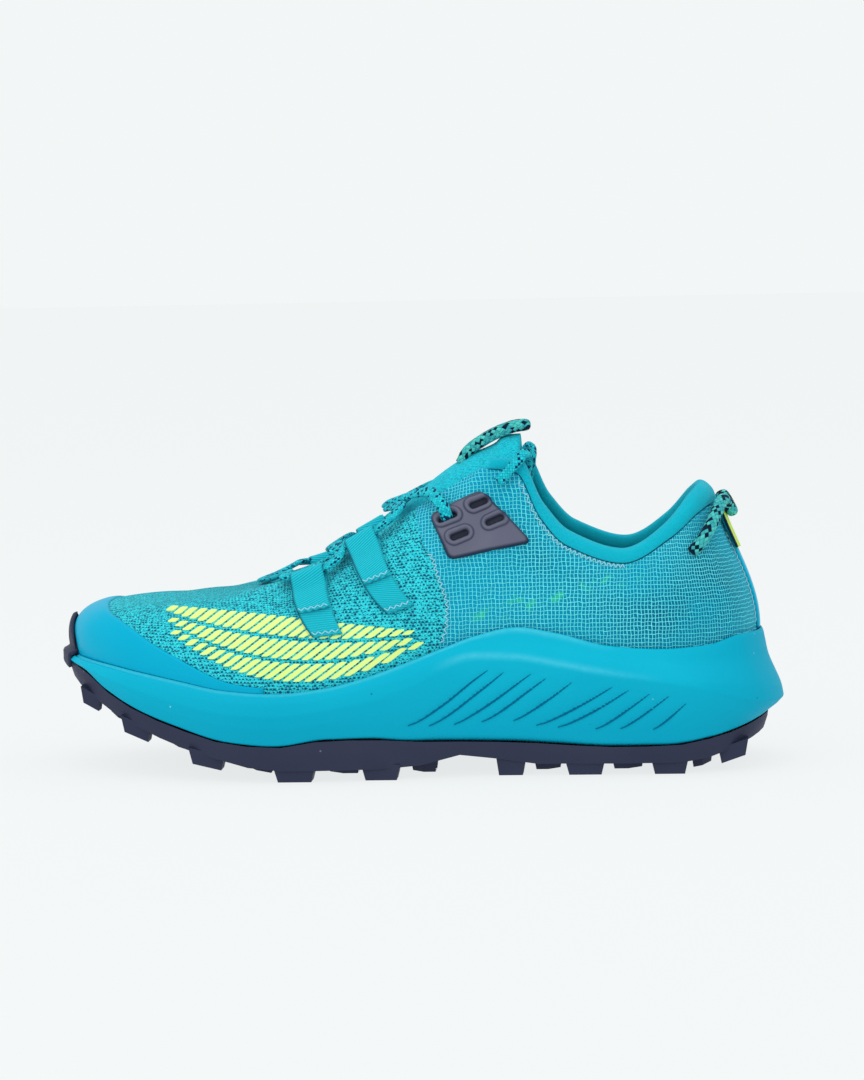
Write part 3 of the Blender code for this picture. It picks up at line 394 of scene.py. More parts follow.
def braid_material(name, base, light, fleck, across, along, share):
    """Braided yarn in two tones, a share of its strands flecks, dark in the gaps between."""
    material, tree, shader = new_material(name, 0.75, Sheen_Weight=0.04)
    sheet = use_group(
        tree, braid, {"Map": cloth_map(tree), "Across": across, "Along": along, "Fleck": share}
    )
    tone = blend_colour(tree, sheet["Strand"], base, light)
    tone = blend_colour(tree, sheet["Fleck"], tone, fleck)
    gap = calc(tree, "SUBTRACT", 1.0, calc(tree, "MULTIPLY", sheet["Height"], 1.8, clamp=True))
    tone = blend_colour(tree, calc(tree, "MULTIPLY", gap, 0.85), tone, BRAID_GAP_TONE)
    join_finish(tree, shader, tone, sheet["Height"], 0.0004, 0.9)
    return material


lace_material = braid_material(
    "lace_braid",
    (0.003, 0.420, 0.560, 1),
    (0.020, 0.700, 0.800, 1),
    (0.004, 0.040, 0.110, 1),
    0.00125,
    0.00135,
    0.17,
)


def grown(builder, name, materials, smooth=True):
    """A finished object from a bmesh, at the origin and with its place in its mesh."""
    mesh = bpy.data.meshes.new(name)
    builder.to_mesh(mesh)
    builder.free()
    if smooth:
        mesh.shade_smooth()
    for material in materials:
        mesh.materials.append(material)
    obj = bpy.data.objects.new(name, mesh)
    scene.collection.objects.link(obj)
    return obj


def dress(obj, slot, *nodes):
    """The piece rides with the shoe, takes its slot's finish and stands for its solids."""
    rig.ride(obj, "root")
    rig.slot(obj, slot)
    if nodes:
        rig.replaces(obj, *nodes)
    return obj


def laid_grid(columns, rows, place, out=None, closed=False, marks=()):
    """A sheet of cells whose corners go to place(a, b), a and b from 0 to 1, with a cloth map.

    place returns a point, its place on the cloth in metres and a value for each of the marks.
    An open sheet's faces look the way that out says. A closed one is a tube, b = 1 on b = 0,
    with its ends filled.
    """
    builder = bmesh.new()
    bmesh.ops.create_grid(builder, x_segments=columns, y_segments=rows, size=1)
    cloth = builder.loops.layers.uv.new("cloth")
    layers = [builder.verts.layers.float.new(mark) for mark in marks]
    spots = {}
    for vert in builder.verts:
        point, spot, *values = place(0.5 + 0.5 * vert.co.x, 0.5 + 0.5 * vert.co.y)
        vert.co = point
        spots[vert] = spot
        for layer, value in zip(layers, values):
            vert[layer] = value
    for face in builder.faces:
        for loop in face.loops:
            loop[cloth].uv = spots[loop.vert]
    if closed:
        bmesh.ops.remove_doubles(builder, verts=builder.verts, dist=1e-6)
        rims = [edge for edge in builder.edges if edge.is_boundary]
        bmesh.ops.holes_fill(builder, edges=rims, sides=0)
        bmesh.ops.recalc_face_normals(builder, faces=builder.faces)
    elif out is not None:
        builder.normal_update()
        if sum(face.normal.dot(out(face.calc_center_median())) for face in builder.faces) < 0:
            bmesh.ops.reverse_faces(builder, faces=builder.faces)
    return builder


def along_path(path, share):
    """The point at a share of a path's points, and the way the path runs there."""
    place = share * (len(path) - 1)
    k = min(int(place), len(path) - 2)
    ahead = path[min(k + 2, len(path) - 1)] - path[max(k - 1, 0)]
    return path[k].lerp(path[k + 1], place - k), ahead.normalized()


def swept_tube(points, facings, width, thickness, steps=8, around=16, pinch=None):
    """A soft flat or round cord through points, its flat side looking along the facings."""
    path = smooth_path(points, steps)
    looks = smooth_path(facings, steps)
    runs = [0.0]
    for one, other in zip(path, path[1:]):
        runs.append(runs[-1] + (other - one).length)
    girth = 1.9 * width + thickness

    def place(a, b):
        point, ahead = along_path(path, a)
        look = along_path(looks, a)[0]
        sideways = ahead.cross(look).normalized()
        look = sideways.cross(ahead).normalized()
        slim, thick = pinch(a) if pinch else (1.0, 1.0)
        angle = 2 * math.pi * b
        x, y = math.cos(angle), math.sin(angle)
        point = point + sideways * (0.5 * width * slim * x)
        flat = math.copysign(abs(y) ** 0.75, y)
        point = point + look * (0.5 * thickness * thick * flat)
        k = a * (len(path) - 1)
        low = min(int(k), len(path) - 2)
        run = runs[low] + (runs[low + 1] - runs[low]) * (k - low)
        return point, (run, b * girth)

    return laid_grid(len(path) - 1, around, place, closed=True), path, runs[-1]


for side_name, sign in BOTH_SIDES:
    middle, *points = [Vector((x, sign * y, z)) for x, y, z in (LACE_END_MIDDLE, *LACE_END)]
    facings = [(point - middle).normalized() for point in points]
    builder, route, length = swept_tube(
        points, facings, LACE_END_WIDTH, LACE_END_THICKNESS, around=14
    )
    end = dress(
        grown(builder, "lace_tail_" + side_name, [lace_material]),
        "lace_braid",
        "lace_end_" + side_name,
    )
    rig.cord(
        end,
        exit=points[0],
        length=length,
        diameter=LACE_END_WIDTH,
        far_end="object",
        stiffness="limp",
        lay="hanging",
        path=route,
    )

# The rubber outsole: one thin navy sheet, press-moulded with chevron lugs on its underside and
# bonded to the foam. Its edges are slightly rounded and its faces dull from the mould.

# The widest outline of the sole, seen from above: a row for each place from the heel's tip
# along both sides to the toe's tip. Stations are shares of LENGTH, sides of SOLE_WIDTH.
Plan = namedtuple("Plan", "station lateral medial")
PLAN = (
    Plan(0.000, 0.020, 0.020),
    Plan(0.012, 0.180, -0.140),
    Plan(0.046, 0.310, -0.275),
    Plan(0.114, 0.395, -0.365),
    Plan(0.214, 0.410, -0.372),
    Plan(0.321, 0.392, -0.325),
    Plan(0.429, 0.406, -0.306),
    Plan(0.536, 0.470, -0.377),
    Plan(0.636, 0.500, -0.465),
    Plan(0.736, 0.481, -0.500),
    Plan(0.829, 0.392, -0.481),
    Plan(0.910, 0.285, -0.432),
    Plan(0.974, 0.110, -0.330),
    Plan(1.000, -0.120, -0.120),
)

# The side of the sole at stations along LENGTH. Heights are shares of SOLE_HEIGHT: the foot of
# the midsole, the two edges of its ridge, its rim and the footbed inside it. Insets from the
# plan are shares of SOLE_FLARE.
Side = namedtuple("Side", "station foot low high rim bed foot_in low_in high_in waist_in rim_in")
SIDES = (
    Side(0.000, 0.39, 0.50, 0.60, 1.03, 0.72, 0.75, 0.00, 0.12, 0.72, 0.98),
    Side(0.035, 0.34, 0.53, 0.65, 1.03, 0.72, 0.72, 0.00, 0.12, 0.72, 1.00),
    Side(0.090, 0.27, 0.63, 0.70, 0.97, 0.71, 0.62, 0.00, 0.10, 0.75, 1.00),
    Side(0.160, 0.22, 0.71, 0.75, 0.95, 0.69, 0.58, 0.02, 0.14, 0.70, 0.92),
    Side(0.235, 0.22, 0.77, 0.81, 0.98, 0.68, 0.50, 0.05, 0.20, 0.60, 0.80),
    Side(0.305, 0.24, 0.84, 0.88, 1.08, 0.66, 0.45, 0.08, 0.22, 0.50, 0.66),
    Side(0.357, 0.26, 0.89, 0.93, 1.13, 0.64, 0.42, 0.12, 0.22, 0.44, 0.56),
    Side(0.411, 0.27, 0.90, 0.95, 1.07, 0.62, 0.40, 0.16, 0.24, 0.38, 0.48),
    Side(0.455, 0.28, 0.83, 0.90, 0.98, 0.60, 0.38, 0.14, 0.22, 0.34, 0.44),
    Side(0.500, 0.29, 0.70, 0.78, 0.89, 0.58, 0.34, 0.08, 0.16, 0.28, 0.40),
    Side(0.555, 0.32, 0.61, 0.70, 0.79, 0.57, 0.30, 0.02, 0.12, 0.24, 0.38),
    Side(0.607, 0.32, 0.56, 0.64, 0.72, 0.55, 0.28, 0.00, 0.10, 0.22, 0.36),
    Side(0.680, 0.27, 0.51, 0.60, 0.68, 0.54, 0.28, 0.00, 0.10, 0.22, 0.36),
    Side(0.750, 0.30, 0.53, 0.61, 0.70, 0.56, 0.28, 0.02, 0.12, 0.24, 0.38),
    Side(0.820, 0.40, 0.60, 0.67, 0.76, 0.60, 0.28, 0.06, 0.16, 0.26, 0.42),
    Side(0.875, 0.51, 0.68, 0.74, 0.81, 0.66, 0.26, 0.10, 0.20, 0.30, 0.46),
    Side(0.925, 0.65, 0.76, 0.80, 0.85, 0.74, 0.26, 0.14, 0.24, 0.34, 0.50),
    Side(0.965, 0.79, 0.82, 0.84, 0.87, 0.80, 0.30, 0.20, 0.30, 0.40, 0.56),
    Side(1.000, 0.83, 0.85, 0.86, 0.88, 0.84, 0.34, 0.26, 0.36, 0.46, 0.60),
)


def follow(rows, column, key, at):
    """One column of a table at a place between its rows, on a smooth curve without overshoot."""
    keys = [getattr(row, key) for row in rows]
    values = [getattr(row, column) for row in rows]
    at = min(max(at, keys[0]), keys[-1])
    last = len(rows) - 2
    k = next((n for n in range(last + 1) if at <= keys[n + 1]), last)

    def slope(n):
        return (values[n + 1] - values[n]) / (keys[n + 1] - keys[n])

    def tangent(n):
        if n == 0:
            return slope(0)
        if n == last + 1:
            return slope(last)
        before = slope(n - 1)
        after = slope(n)
        return 2 * before * after / (before + after) if before * after > 0 else 0.0

    span = keys[k + 1] - keys[k]
    t = (at - keys[k]) / span
    return (
        (2 * t**3 - 3 * t**2 + 1) * values[k]
        + (t**3 - 2 * t**2 + t) * span * tangent(k)
        + (3 * t**2 - 2 * t**3) * values[k + 1]
        + (t**3 - t**2) * span * tangent(k + 1)
    )


def plan_row(number):
    """A control point of the closed plan, counted from the heel's tip round the lateral side."""
    last = len(PLAN) - 1
    number %= 2 * last
    if number <= last:
        row = PLAN[number]
        return Vector(((row.station - 0.5) * LENGTH, row.lateral * SOLE_WIDTH, 0))
    row = PLAN[2 * last - number]
    return Vector(((row.station - 0.5) * LENGTH, row.medial * SOLE_WIDTH, 0))


@lru_cache(None)
def plan_point(turn):
    place = turn * (len(PLAN) - 1)
    k = math.floor(place)
    return curve_point(*(plan_row(k + n) for n in (-1, 0, 1, 2)), place - k)


@lru_cache(None)
def plan_outward(turn):
    step = 0.004
    along = plan_point(turn + step) - plan_point(turn - step)
    return Vector((-along.y, along.x, 0)).normalized()


@lru_cache(None)
def side(column, turn):
    return follow(SIDES, column, "station", plan_point(turn).x / LENGTH + 0.5)


def height(column, turn):
    return side(column, turn) * SOLE_HEIGHT


def inset(column, turn):
    return side(column, turn) * SOLE_FLARE


def around(turn, inward, z):
    """A point at a place round the shoe, set in from the plan's outline."""
    return plan_point(turn) - plan_outward(turn) * inward + Vector((0, 0, z))


# Fine specks and scuffs, as moulded foam, rubber and film have: a colour shift, a roughness
# shift and a height.
specks, specks_in, specks_out = new_group(
    "specks", {"Grain": 1800.0, "Amount": 0.5}, ("Light", "Dark", "Cloud", "Height")
)
speck_map = specks_in["Map"]
fine = add_node(specks, "TexNoise", {0: speck_map, "Scale": specks_in["Grain"], "Detail": 3.0})
cloud = add_node(specks, "TexNoise", {0: speck_map, "Scale": 28.0, "Detail": 4.0})
dots = add_node(specks, "TexVoronoi", {0: speck_map, "Scale": 210.0, "Randomness": 1.0})
dot_size = calc(specks, "MULTIPLY", specks_in["Amount"], 0.16)
dot_chance = add_node(specks, "SeparateColor", {0: dots.outputs[1]}).outputs
shows = calc(specks, "GREATER_THAN", dot_chance[0], 0.80)
dot = calc(specks, "MULTIPLY", calc(specks, "LESS_THAN", dots.outputs[0], dot_size), shows)
bright = calc(specks, "GREATER_THAN", dot_chance[1], 0.5)
dark_dot = calc(specks, "MULTIPLY", dot, calc(specks, "SUBTRACT", 1.0, bright))
specks.links.new(calc(specks, "MULTIPLY", dot, bright), specks_out["Light"])
specks.links.new(dark_dot, specks_out["Dark"])
specks.links.new(cloud.outputs[0], specks_out["Cloud"])
specks.links.new(fine.outputs[0], specks_out["Height"])


def object_map(tree):
    return add_node(tree, "TexCoord").outputs["Object"]


def moulded_material(
    name, base, cloudy, light, dark, roughness, grain=1800.0, amount=0.5, depth=0.00006, **sockets
):
    """Foam, rubber or film: a clouded colour with few specks and a fine moulded grain."""
    material, tree, shader = new_material(name, roughness, **sockets)
    marks = use_group(tree, specks, {"Map": object_map(tree), "Grain": grain, "Amount": amount})
    tone = blend_colour(tree, marks["Cloud"], base, cloudy)
    tone = blend_colour(tree, marks["Light"], tone, light)
    tone = blend_colour(tree, marks["Dark"], tone, dark)
    rough = calc(tree, "MULTIPLY_ADD", marks["Cloud"], 0.14, roughness - 0.07)
    tree.links.new(rough, shader.inputs["Roughness"])
    join_finish(tree, shader, tone, marks["Height"], depth)
    return material, tree, shader, tone


RUBBER_EDGE = 0.0007
rubber_material = moulded_material(
    "outsole_rubber",
    (0.026, 0.032, 0.062, 1),
    (0.040, 0.046, 0.084, 1),
    (0.12, 0.14, 0.20, 1),
    (0.010, 0.012, 0.025, 1),
    0.52,
)[0]
# The sheet is a copy of its solid, with its doubled corners merged and its flat faces joined.
builder = bmesh.new()
builder.from_mesh(frame["nodes"]["outsole"].data)
bmesh.ops.remove_doubles(builder, verts=builder.verts, dist=2e-6)
for layer in list(builder.loops.layers.uv):
    builder.loops.layers.uv.remove(layer)
bmesh.ops.dissolve_limit(
    builder, angle_limit=math.radians(1.0), verts=builder.verts, edges=builder.edges
)
outsole = grown(builder, "rubber_outsole", [rubber_material], smooth=False)
dress(outsole, "outsole_rubber", "outsole")
rounded = outsole.modifiers.new("rounded", "BEVEL")
rounded.width = RUBBER_EDGE
rounded.segments = 3
rounded.limit_method = "ANGLE"
rounded.angle_limit = math.radians(28)
outsole.data.set_sharp_from_angle(angle=math.radians(35))

# The midsole: one piece of moulded EVA foam with a raised rim that cups the upper, a ridge
# along its side that flares over the heel, and shallow slashes cut by the mould. A painted
# highlight, a paler band, runs along the rim and the ridge, where their upper faces catch the light.

GROOVE_DEPTH = 0.0012
# How far a slash's upper and lower flanks run out, and the furthest that it reaches off its
# line and beyond its ends.
GROOVE_UPPER = 0.00045
GROOVE_LOWER = 0.0011
GROOVE_REACH = 0.0032
GROOVE_MARGIN = 0.003
GROOVE_STEPS = 16
Groove = namedtuple("Groove", "front rear low high")
GROOVES = (
    Groove(0.500, 0.395, 0.30, 0.86),
    Groove(0.472, 0.374, 0.24, 0.84),
    Groove(0.440, 0.338, 0.22, 0.84),
    Groove(0.404, 0.318, 0.24, 0.82),
    Groove(0.362, 0.284, 0.26, 0.82),
    Groove(0.332, 0.230, 0.22, 0.84),
    Groove(0.304, 0.208, 0.22, 0.82),
    Groove(0.254, 0.180, 0.24, 0.80),
    Groove(0.220, 0.154, 0.26, 0.80),
    Groove(0.176, 0.130, 0.26, 0.72),
)


@lru_cache(None)
def foot_inset(turn):
    return inset("foot_in", turn)


def cup_inset(turn):
    """The inner face of the midsole's rim."""
    return inset("rim_in", turn) + RIM_WIDTH


@lru_cache(None)
def bed_height(turn, inward):
    station = around(turn, inward, 0).x / LENGTH + 0.5
    return follow(SIDES, "bed", "station", station) * SOLE_HEIGHT


def turn_at(station, sign):
    """The turn at a station, found by halving, on the side that the sign names."""
    low, high = 0.0, 1.0
    for _ in range(20):
        middle = 0.5 * (low + high)
        if plan_point(sign * middle).x / LENGTH + 0.5 < station:
            low = middle
        else:
            high = middle
    return sign * low


def wall_point(station, sign, climb):
    """A point on the midsole's wall between its foot and its ridge."""
    turn = turn_at(station, sign)
    z = (1 - climb) * height("foot", turn) + climb * height("low", turn)
    inward = (1 - climb) * foot_inset(turn) + climb * inset("low_in", turn)
    return around(turn, inward, z)


# How many cells lie below each corner of the wall's section.
FOAM_CELLS = (0, 3, 15, 15, 5, 6, 6, 2, 2, 2)
FOAM_COLUMNS = 640


@lru_cache(None)
def foam_section(turn):
    """The section of the midsole's wall, as (inward, height) corners from the dish to the bed."""
    corners = [
        (foot_inset(turn) + SOLE_FLARE, height("foot", turn) - 0.0008),
        (foot_inset(turn) + 0.0004, height("foot", turn) + GAP),
        (
            0.35 * inset("foot_in", turn) + 0.65 * inset("low_in", turn),
            0.40 * height("foot", turn) + 0.60 * height("low", turn),
        ),
        (inset("low_in", turn), height("low", turn)),
        (inset("high_in", turn), height("high", turn)),
        (inset("waist_in", turn), 0.5 * (height("high", turn) + height("rim", turn))),
        (
            0.15 * inset("waist_in", turn) + 0.85 * inset("rim_in", turn),
            height("rim", turn) - 0.7 * RIM_WIDTH,
        ),
        (inset("rim_in", turn) + 0.25 * RIM_WIDTH, height("rim", turn)),
        (cup_inset(turn), height("rim", turn) - 0.25 * RIM_WIDTH),
        (cup_inset(turn), bed_height(turn, cup_inset(turn))),
    ]
    line = [Vector(corners[0])]
    for k in range(1, len(corners)):
        start, end = Vector(corners[k - 1]), Vector(corners[k])
        count = FOAM_CELLS[k]
        line += [start.lerp(end, (n + 1) / count) for n in range(count)]
    for _ in range(2):
        line = (
            line[:1]
            + [0.25 * a + 0.5 * b + 0.25 * c for a, b, c in zip(line, line[1:], line[2:])]
            + line[-1:]
        )
    return line


SLASHES = []
for sign in (1, -1):
    for groove in GROOVES:
        line = []
        for n in range(GROOVE_STEPS + 1):
            t = n / GROOVE_STEPS
            station = groove.front + (groove.rear - groove.front) * t**0.8
            line.append(wall_point(station, sign, groove.low + (groove.high - groove.low) * t))
        SLASHES.append(line)
FOAM_ROWS = sum(FOAM_CELLS)
RIDGE_ROW = sum(FOAM_CELLS[:4])
RIM_ROW = sum(FOAM_CELLS[:7])

# The painted highlights on the ridge and the rim, as paler bands: the row at their middle, their half
# width in rows, the stations where they start at the heel and are full, and those where they fade and end.
HighlightBand = namedtuple("HighlightBand", "row half start full fade end")
HIGHLIGHT_BANDS = (
    HighlightBand(RIDGE_ROW + 2.5, 3.6, 0.16, 0.26, 0.43, 0.47),
    HighlightBand(RIM_ROW + 0.2, 2.6, 0.22, 0.30, 1.10, 1.20),
)


def clamped(value):
    return min(max(value, 0), 1)


def highlight_share(row, station):
    """How much of the painted highlight bands lies at a row of the wall."""
    shares = []
    for band in HIGHLIGHT_BANDS:
        share = max(0.0, 1 - abs(row - band.row) / band.half)
        share *= clamped((station - band.start) / (band.full - band.start))
        shares.append(share * clamped((band.end - station) / (band.end - band.fade)))
    return max(shares)


def taper(share):
    """The strength of a slash at a share of its length, less at both its ends."""
    return math.sin(math.pi * (0.03 + 0.94 * share)) ** 0.5


def slash_at(point):
    """How deep the nearest slash is at a point of the wall."""
    depth = 0.0
    for line in SLASHES:
        if (line[0].y > 0) != (point.y > 0):
            continue
        if not line[-1].x - GROOVE_MARGIN < point.x < line[0].x + GROOVE_MARGIN:
            continue
        for n, (start, end) in enumerate(zip(line, line[1:])):
            step = end - start
            share = clamped((point - start).dot(step) / step.length_squared)
            offset = point - start - step * share
            distance = offset.length
            if distance > GROOVE_REACH:
                continue
            if offset.z < 0:
                fall = math.exp(-distance / GROOVE_LOWER)
            else:
                fall = math.exp(-((distance / GROOVE_UPPER) ** 2))
            depth = max(depth, fall * taper((n + share) / GROOVE_STEPS))
    return depth


def foam_place(a, b):
    turn = 2 * a - 1
    line = foam_section(turn)
    row = b * FOAM_ROWS
    k = min(int(row + 1e-4), FOAM_ROWS - 1)
    inward, z = line[k].lerp(line[k + 1], row - k)
    point = around(turn, inward, z)
    if 4 < row < RIDGE_ROW - 1:
        point = point - plan_outward(turn) * (GROOVE_DEPTH * 0.75 * slash_at(point))
    return point, (a, b), highlight_share(row, point.x / LENGTH + 0.5)


def sideways(point):
    """Away from the shoe's middle line."""
    return Vector((0, point.y - 0.005, 0))


def mark(tree, name):
    """A value that the mesh carries at its corners."""
    return add_node(tree, "Attribute", attribute_name=name).outputs["Fac"]


builder = laid_grid(FOAM_COLUMNS, FOAM_ROWS, foam_place, sideways, marks=("band",))
bmesh.ops.remove_doubles(builder, verts=builder.verts, dist=1e-6)
foam_material, tree, shader, tone = moulded_material(
    "midsole_foam",
    (0.000, 0.410, 0.590, 1),
    (0.004, 0.475, 0.650, 1),
    (0.25, 0.72, 0.80, 1),
    (0.01, 0.10, 0.20, 1),
    0.56,
    grain=2200,
    depth=0.00005,
)
# Painted highlight: the paler band along the ridge and the rim, broken up by noise.
patchy = add_node(tree, "TexNoise", {0: object_map(tree), "Scale": 420.0, "Detail": 2.0})
broken = calc(tree, "MULTIPLY_ADD", patchy.outputs[0], 0.9, 0.25)
pale = calc(tree, "MULTIPLY", mark(tree, "band"), broken, clamp=True)
tone = blend_colour(tree, pale, tone, (0.060, 0.540, 0.700, 1))
# Painted shade: the foam's colour is darkened towards its foot and the back of the heel.
where = add_node(tree, "SeparateXYZ", {0: object_map(tree)}).outputs
low = calc(tree, "MULTIPLY_ADD", where[2], -32.0, 1.55, clamp=True)
heel = calc(tree, "MULTIPLY_ADD", where[0], -22.0, -1.90, clamp=True)
deep = calc(tree, "MULTIPLY", calc(tree, "MAXIMUM", low, heel), 0.6)
tone = blend_colour(tree, deep, tone, (0.0, 0.300, 0.470, 1))
tree.links.new(tone, shader.inputs["Base Color"])
dress(grown(builder, "foam_midsole", [foam_material]), "midsole_foam", "midsole")

# The bottoms of the slashes in the foam's side: narrow creases that the mould's blades leave,
# dark because the foam lies in its own shade there. Each tapers to both its ends.

CUT_WIDE = 0.00042
CUT_DEPTH = 0.0012
CUT_PROUD = 0.00012


def join_rows(builder, rows):
    """The faces of a bar through rows of four corners, closed at both its ends."""
    for one, other in zip(rows, rows[1:]):
        for k in range(4):
            builder.faces.new((one[k], one[(k + 1) % 4], other[(k + 1) % 4], other[k]))
    builder.faces.new(rows[0])
    builder.faces.new(rows[-1])


def cut_builder(sign):
    builder = bmesh.new()
    for line in SLASHES:
        if (line[0].y > 0) != (sign > 0):
            continue
        path = smooth_path(line, 3)
        rows = []
        for n, point in enumerate(path):
            share = taper(n / (len(path) - 1))
            outward = Vector((0, sign, 0))
            bottom = point - outward * (GROOVE_DEPTH * 0.22 * share)
            up = Vector((0, 0, CUT_WIDE * share))
            corners = (up, outward * CUT_PROUD, -up, -outward * CUT_DEPTH)
            rows.append([builder.verts.new(bottom + corner) for corner in corners])
        join_rows(builder, rows)
    bmesh.ops.recalc_face_normals(builder, faces=builder.faces)
    return builder


cut_material, tree, shader = new_material("foam_cut", 0.8)
shader.inputs["Base Color"].default_value = (0.0, 0.130, 0.260, 1)
for side_name, sign in BOTH_SIDES:
    dress(grown(cut_builder(sign), "foam_cuts_" + side_name, [cut_material]), "midsole_foam")

# The upper: an engineered knit over the toe and the forefoot, sewn behind the lace bands to an
# open mesh that runs round the heel. The wall is two layers, with a brushed lining inside, and
# its foot goes down inside the midsole's rim.

# The edge of the collar and throat: stations are shares of LENGTH, sides of COLLAR_WIDTH or, in
# front of the collar, THROAT_WIDTH, and heights of UPPER_HEIGHT above BED_LEVEL, itself a share
# of SOLE_HEIGHT.
Edge = namedtuple("Edge", "turn station collar throat height")
EDGES = (
    Edge(0.000, 0.0965, 0.000, 0.00, 0.790),
    Edge(0.077, 0.1020, 0.160, 0.00, 0.793),
    Edge(0.154, 0.1180, 0.315, 0.00, 0.755),
    Edge(0.231, 0.1540, 0.447, 0.00, 0.645),
    Edge(0.308, 0.2140, 0.500, 0.00, 0.546),
    Edge(0.385, 0.2860, 0.456, 0.00, 0.620),
    Edge(0.423, 0.3190, 0.415, 0.00, 0.730),
    Edge(0.462, 0.3500, 0.360, 0.00, 0.908),
    Edge(0.500, 0.3860, 0.150, 0.36, 0.921),
    Edge(0.538, 0.4210, 0.000, 0.58, 0.849),
    Edge(0.615, 0.5000, 0.000, 0.52, 0.700),
    Edge(0.692, 0.5710, 0.000, 0.46, 0.567),
    Edge(0.769, 0.6210, 0.000, 0.41, 0.488),
    Edge(0.846, 0.6570, 0.000, 0.32, 0.436),
    Edge(0.923, 0.6790, 0.000, 0.18, 0.411),
    Edge(1.000, 0.6880, 0.000, 0.00, 0.404),
)

# How the wall bends between its two edges, as shares of the straight line between them.
Bend = namedtuple("Bend", "turn rise bulge reach sag")
BENDS = (
    Bend(0.000, 0.32, 0.01, 0.08, 0.36),
    Bend(0.154, 0.33, 0.04, 0.06, 0.34),
    Bend(0.308, 0.36, 0.08, 0.02, 0.30),
    Bend(0.385, 0.36, 0.06, 0.05, 0.30),
    Bend(0.462, 0.30, 0.04, 0.10, 0.26),
    Bend(0.538, 0.24, 0.03, 0.20, 0.22),
    Bend(0.615, 0.22, 0.03, 0.25, 0.20),
    Bend(0.692, 0.24, 0.04, 0.30, 0.18),
    Bend(0.769, 0.30, 0.05, 0.36, 0.15),
    Bend(0.846, 0.33, 0.07, 0.45, 0.145),
    Bend(0.923, 0.35, 0.09, 0.55, 0.15),
    Bend(1.000, 0.35, 0.09, 0.55, 0.15),
)


def rim_point(turn):
    """The foot of the upper's wall, just inside the midsole's rim."""
    return around(turn, cup_inset(turn) + GAP, height("rim", turn) - 0.25 * RIM_WIDTH)


def instep(share):
    """A height over the footbed, as a share of the upper's height."""
    return BED_LEVEL * SOLE_HEIGHT + share * UPPER_HEIGHT


@lru_cache(None)
def edge_point(turn):
    """A point on the edge of the collar or the throat."""
    row = abs(turn)
    sign = 1 if turn >= 0 else -1
    collar = follow(EDGES, "collar", "turn", row) * COLLAR_WIDTH
    throat = follow(EDGES, "throat", "turn", row) * THROAT_WIDTH
    return Vector(
        (
            (follow(EDGES, "station", "turn", row) - 0.5) * LENGTH,
            sign * (collar + throat),
            instep(follow(EDGES, "height", "turn", row)),
        )
    )


@lru_cache(None)
def wall(turn):
    """The four points that a section of the upper's wall bends between."""
    foot = rim_point(turn)
    edge = edge_point(turn)
    chord = (edge - foot).length
    flat = Vector((foot.x - edge.x, foot.y - edge.y, 0)).normalized()
    row = abs(turn)
    rise, bulge, reach, sag = (
        follow(BENDS, column, "turn", row) * chord for column in ("rise", "bulge", "reach", "sag")
    )
    lower = foot + Vector((0, 0, rise)) + plan_outward(turn) * bulge
    upper = edge + flat * reach - Vector((0, 0, sag))
    return foot, lower, upper, edge


def skin(turn, climb):
    """The outer face of the upper."""
    foot, lower, upper, edge = wall(turn)
    t = climb
    bent = (1 - t) ** 3 * foot + 3 * (1 - t) ** 2 * t * lower
    return bent + 3 * (1 - t) * t**2 * upper + t**3 * edge


@lru_cache(None)
def skin_outward(turn, climb):
    step = 0.01
    low = min(max(climb - step, 0), 1 - 2 * step)
    along = skin(turn + step, climb) - skin(turn - step, climb)
    up = skin(turn, low + 2 * step) - skin(turn, low)
    return up.cross(along).normalized()


# Where the cloth gives: soft troughs across the vamp behind the cap, beside the throat and
# round the ankle. A turn is about TURN_STRETCH times as long as a climb, and a length is in
# turns, a width in climbs, a slant in radians and a depth in metres.
TURN_STRETCH = 3.0
Crease = namedtuple("Crease", "turn climb slant length width depth")
CREASES = (
    Crease(0.900, 0.62, 0.3, 0.070, 0.050, 0.00055),
    Crease(0.855, 0.72, 0.5, 0.060, 0.045, 0.00050),
    Crease(0.800, 0.40, 0.6, 0.060, 0.050, 0.00050),
    Crease(0.735, 0.30, 0.9, 0.050, 0.050, 0.00045),
    Crease(0.470, 0.30, -1.0, 0.060, 0.060, 0.00060),
    Crease(0.420, 0.45, -1.4, 0.060, 0.050, 0.00060),
    Crease(0.360, 0.55, -0.6, 0.060, 0.070, 0.00070),
    Crease(0.300, 0.35, 0.8, 0.050, 0.070, 0.00060),
    Crease(0.210, 0.55, 1.2, 0.050, 0.080, 0.00060),
    Crease(0.120, 0.35, 0.9, 0.050, 0.080, 0.00050),
    Crease(0.600, 0.18, 0.4, 0.080, 0.040, 0.00040),
)


def give(turn, climb):
    """How far the cloth sinks at a place, in metres."""
    sink = 0.0
    for crease in CREASES:
        x = (abs(turn) - crease.turn) * TURN_STRETCH
        y = climb - crease.climb
        run = x * math.cos(crease.slant) + y * math.sin(crease.slant)
        off = y * math.cos(crease.slant) - x * math.sin(crease.slant)
        reach = TURN_STRETCH * crease.length
        sink += crease.depth * math.exp(-((run / reach) ** 2) - (off / crease.width) ** 2)
    return sink


def raised(turn, climb, lift):
    """A point over the upper's outer face, or under it where the lift is negative."""
    return skin(turn, climb) + skin_outward(turn, climb) * (lift - give(turn, climb))


# The cloth's map is measured in ROUND pieces along half the plan and RISERS pieces up the wall.
ROUND = 400
RISERS = 24
plan_runs = [0.0]
for n in range(ROUND):
    step = plan_point((n + 1) / ROUND) - plan_point(n / ROUND)
    plan_runs.append(plan_runs[-1] + step.length)


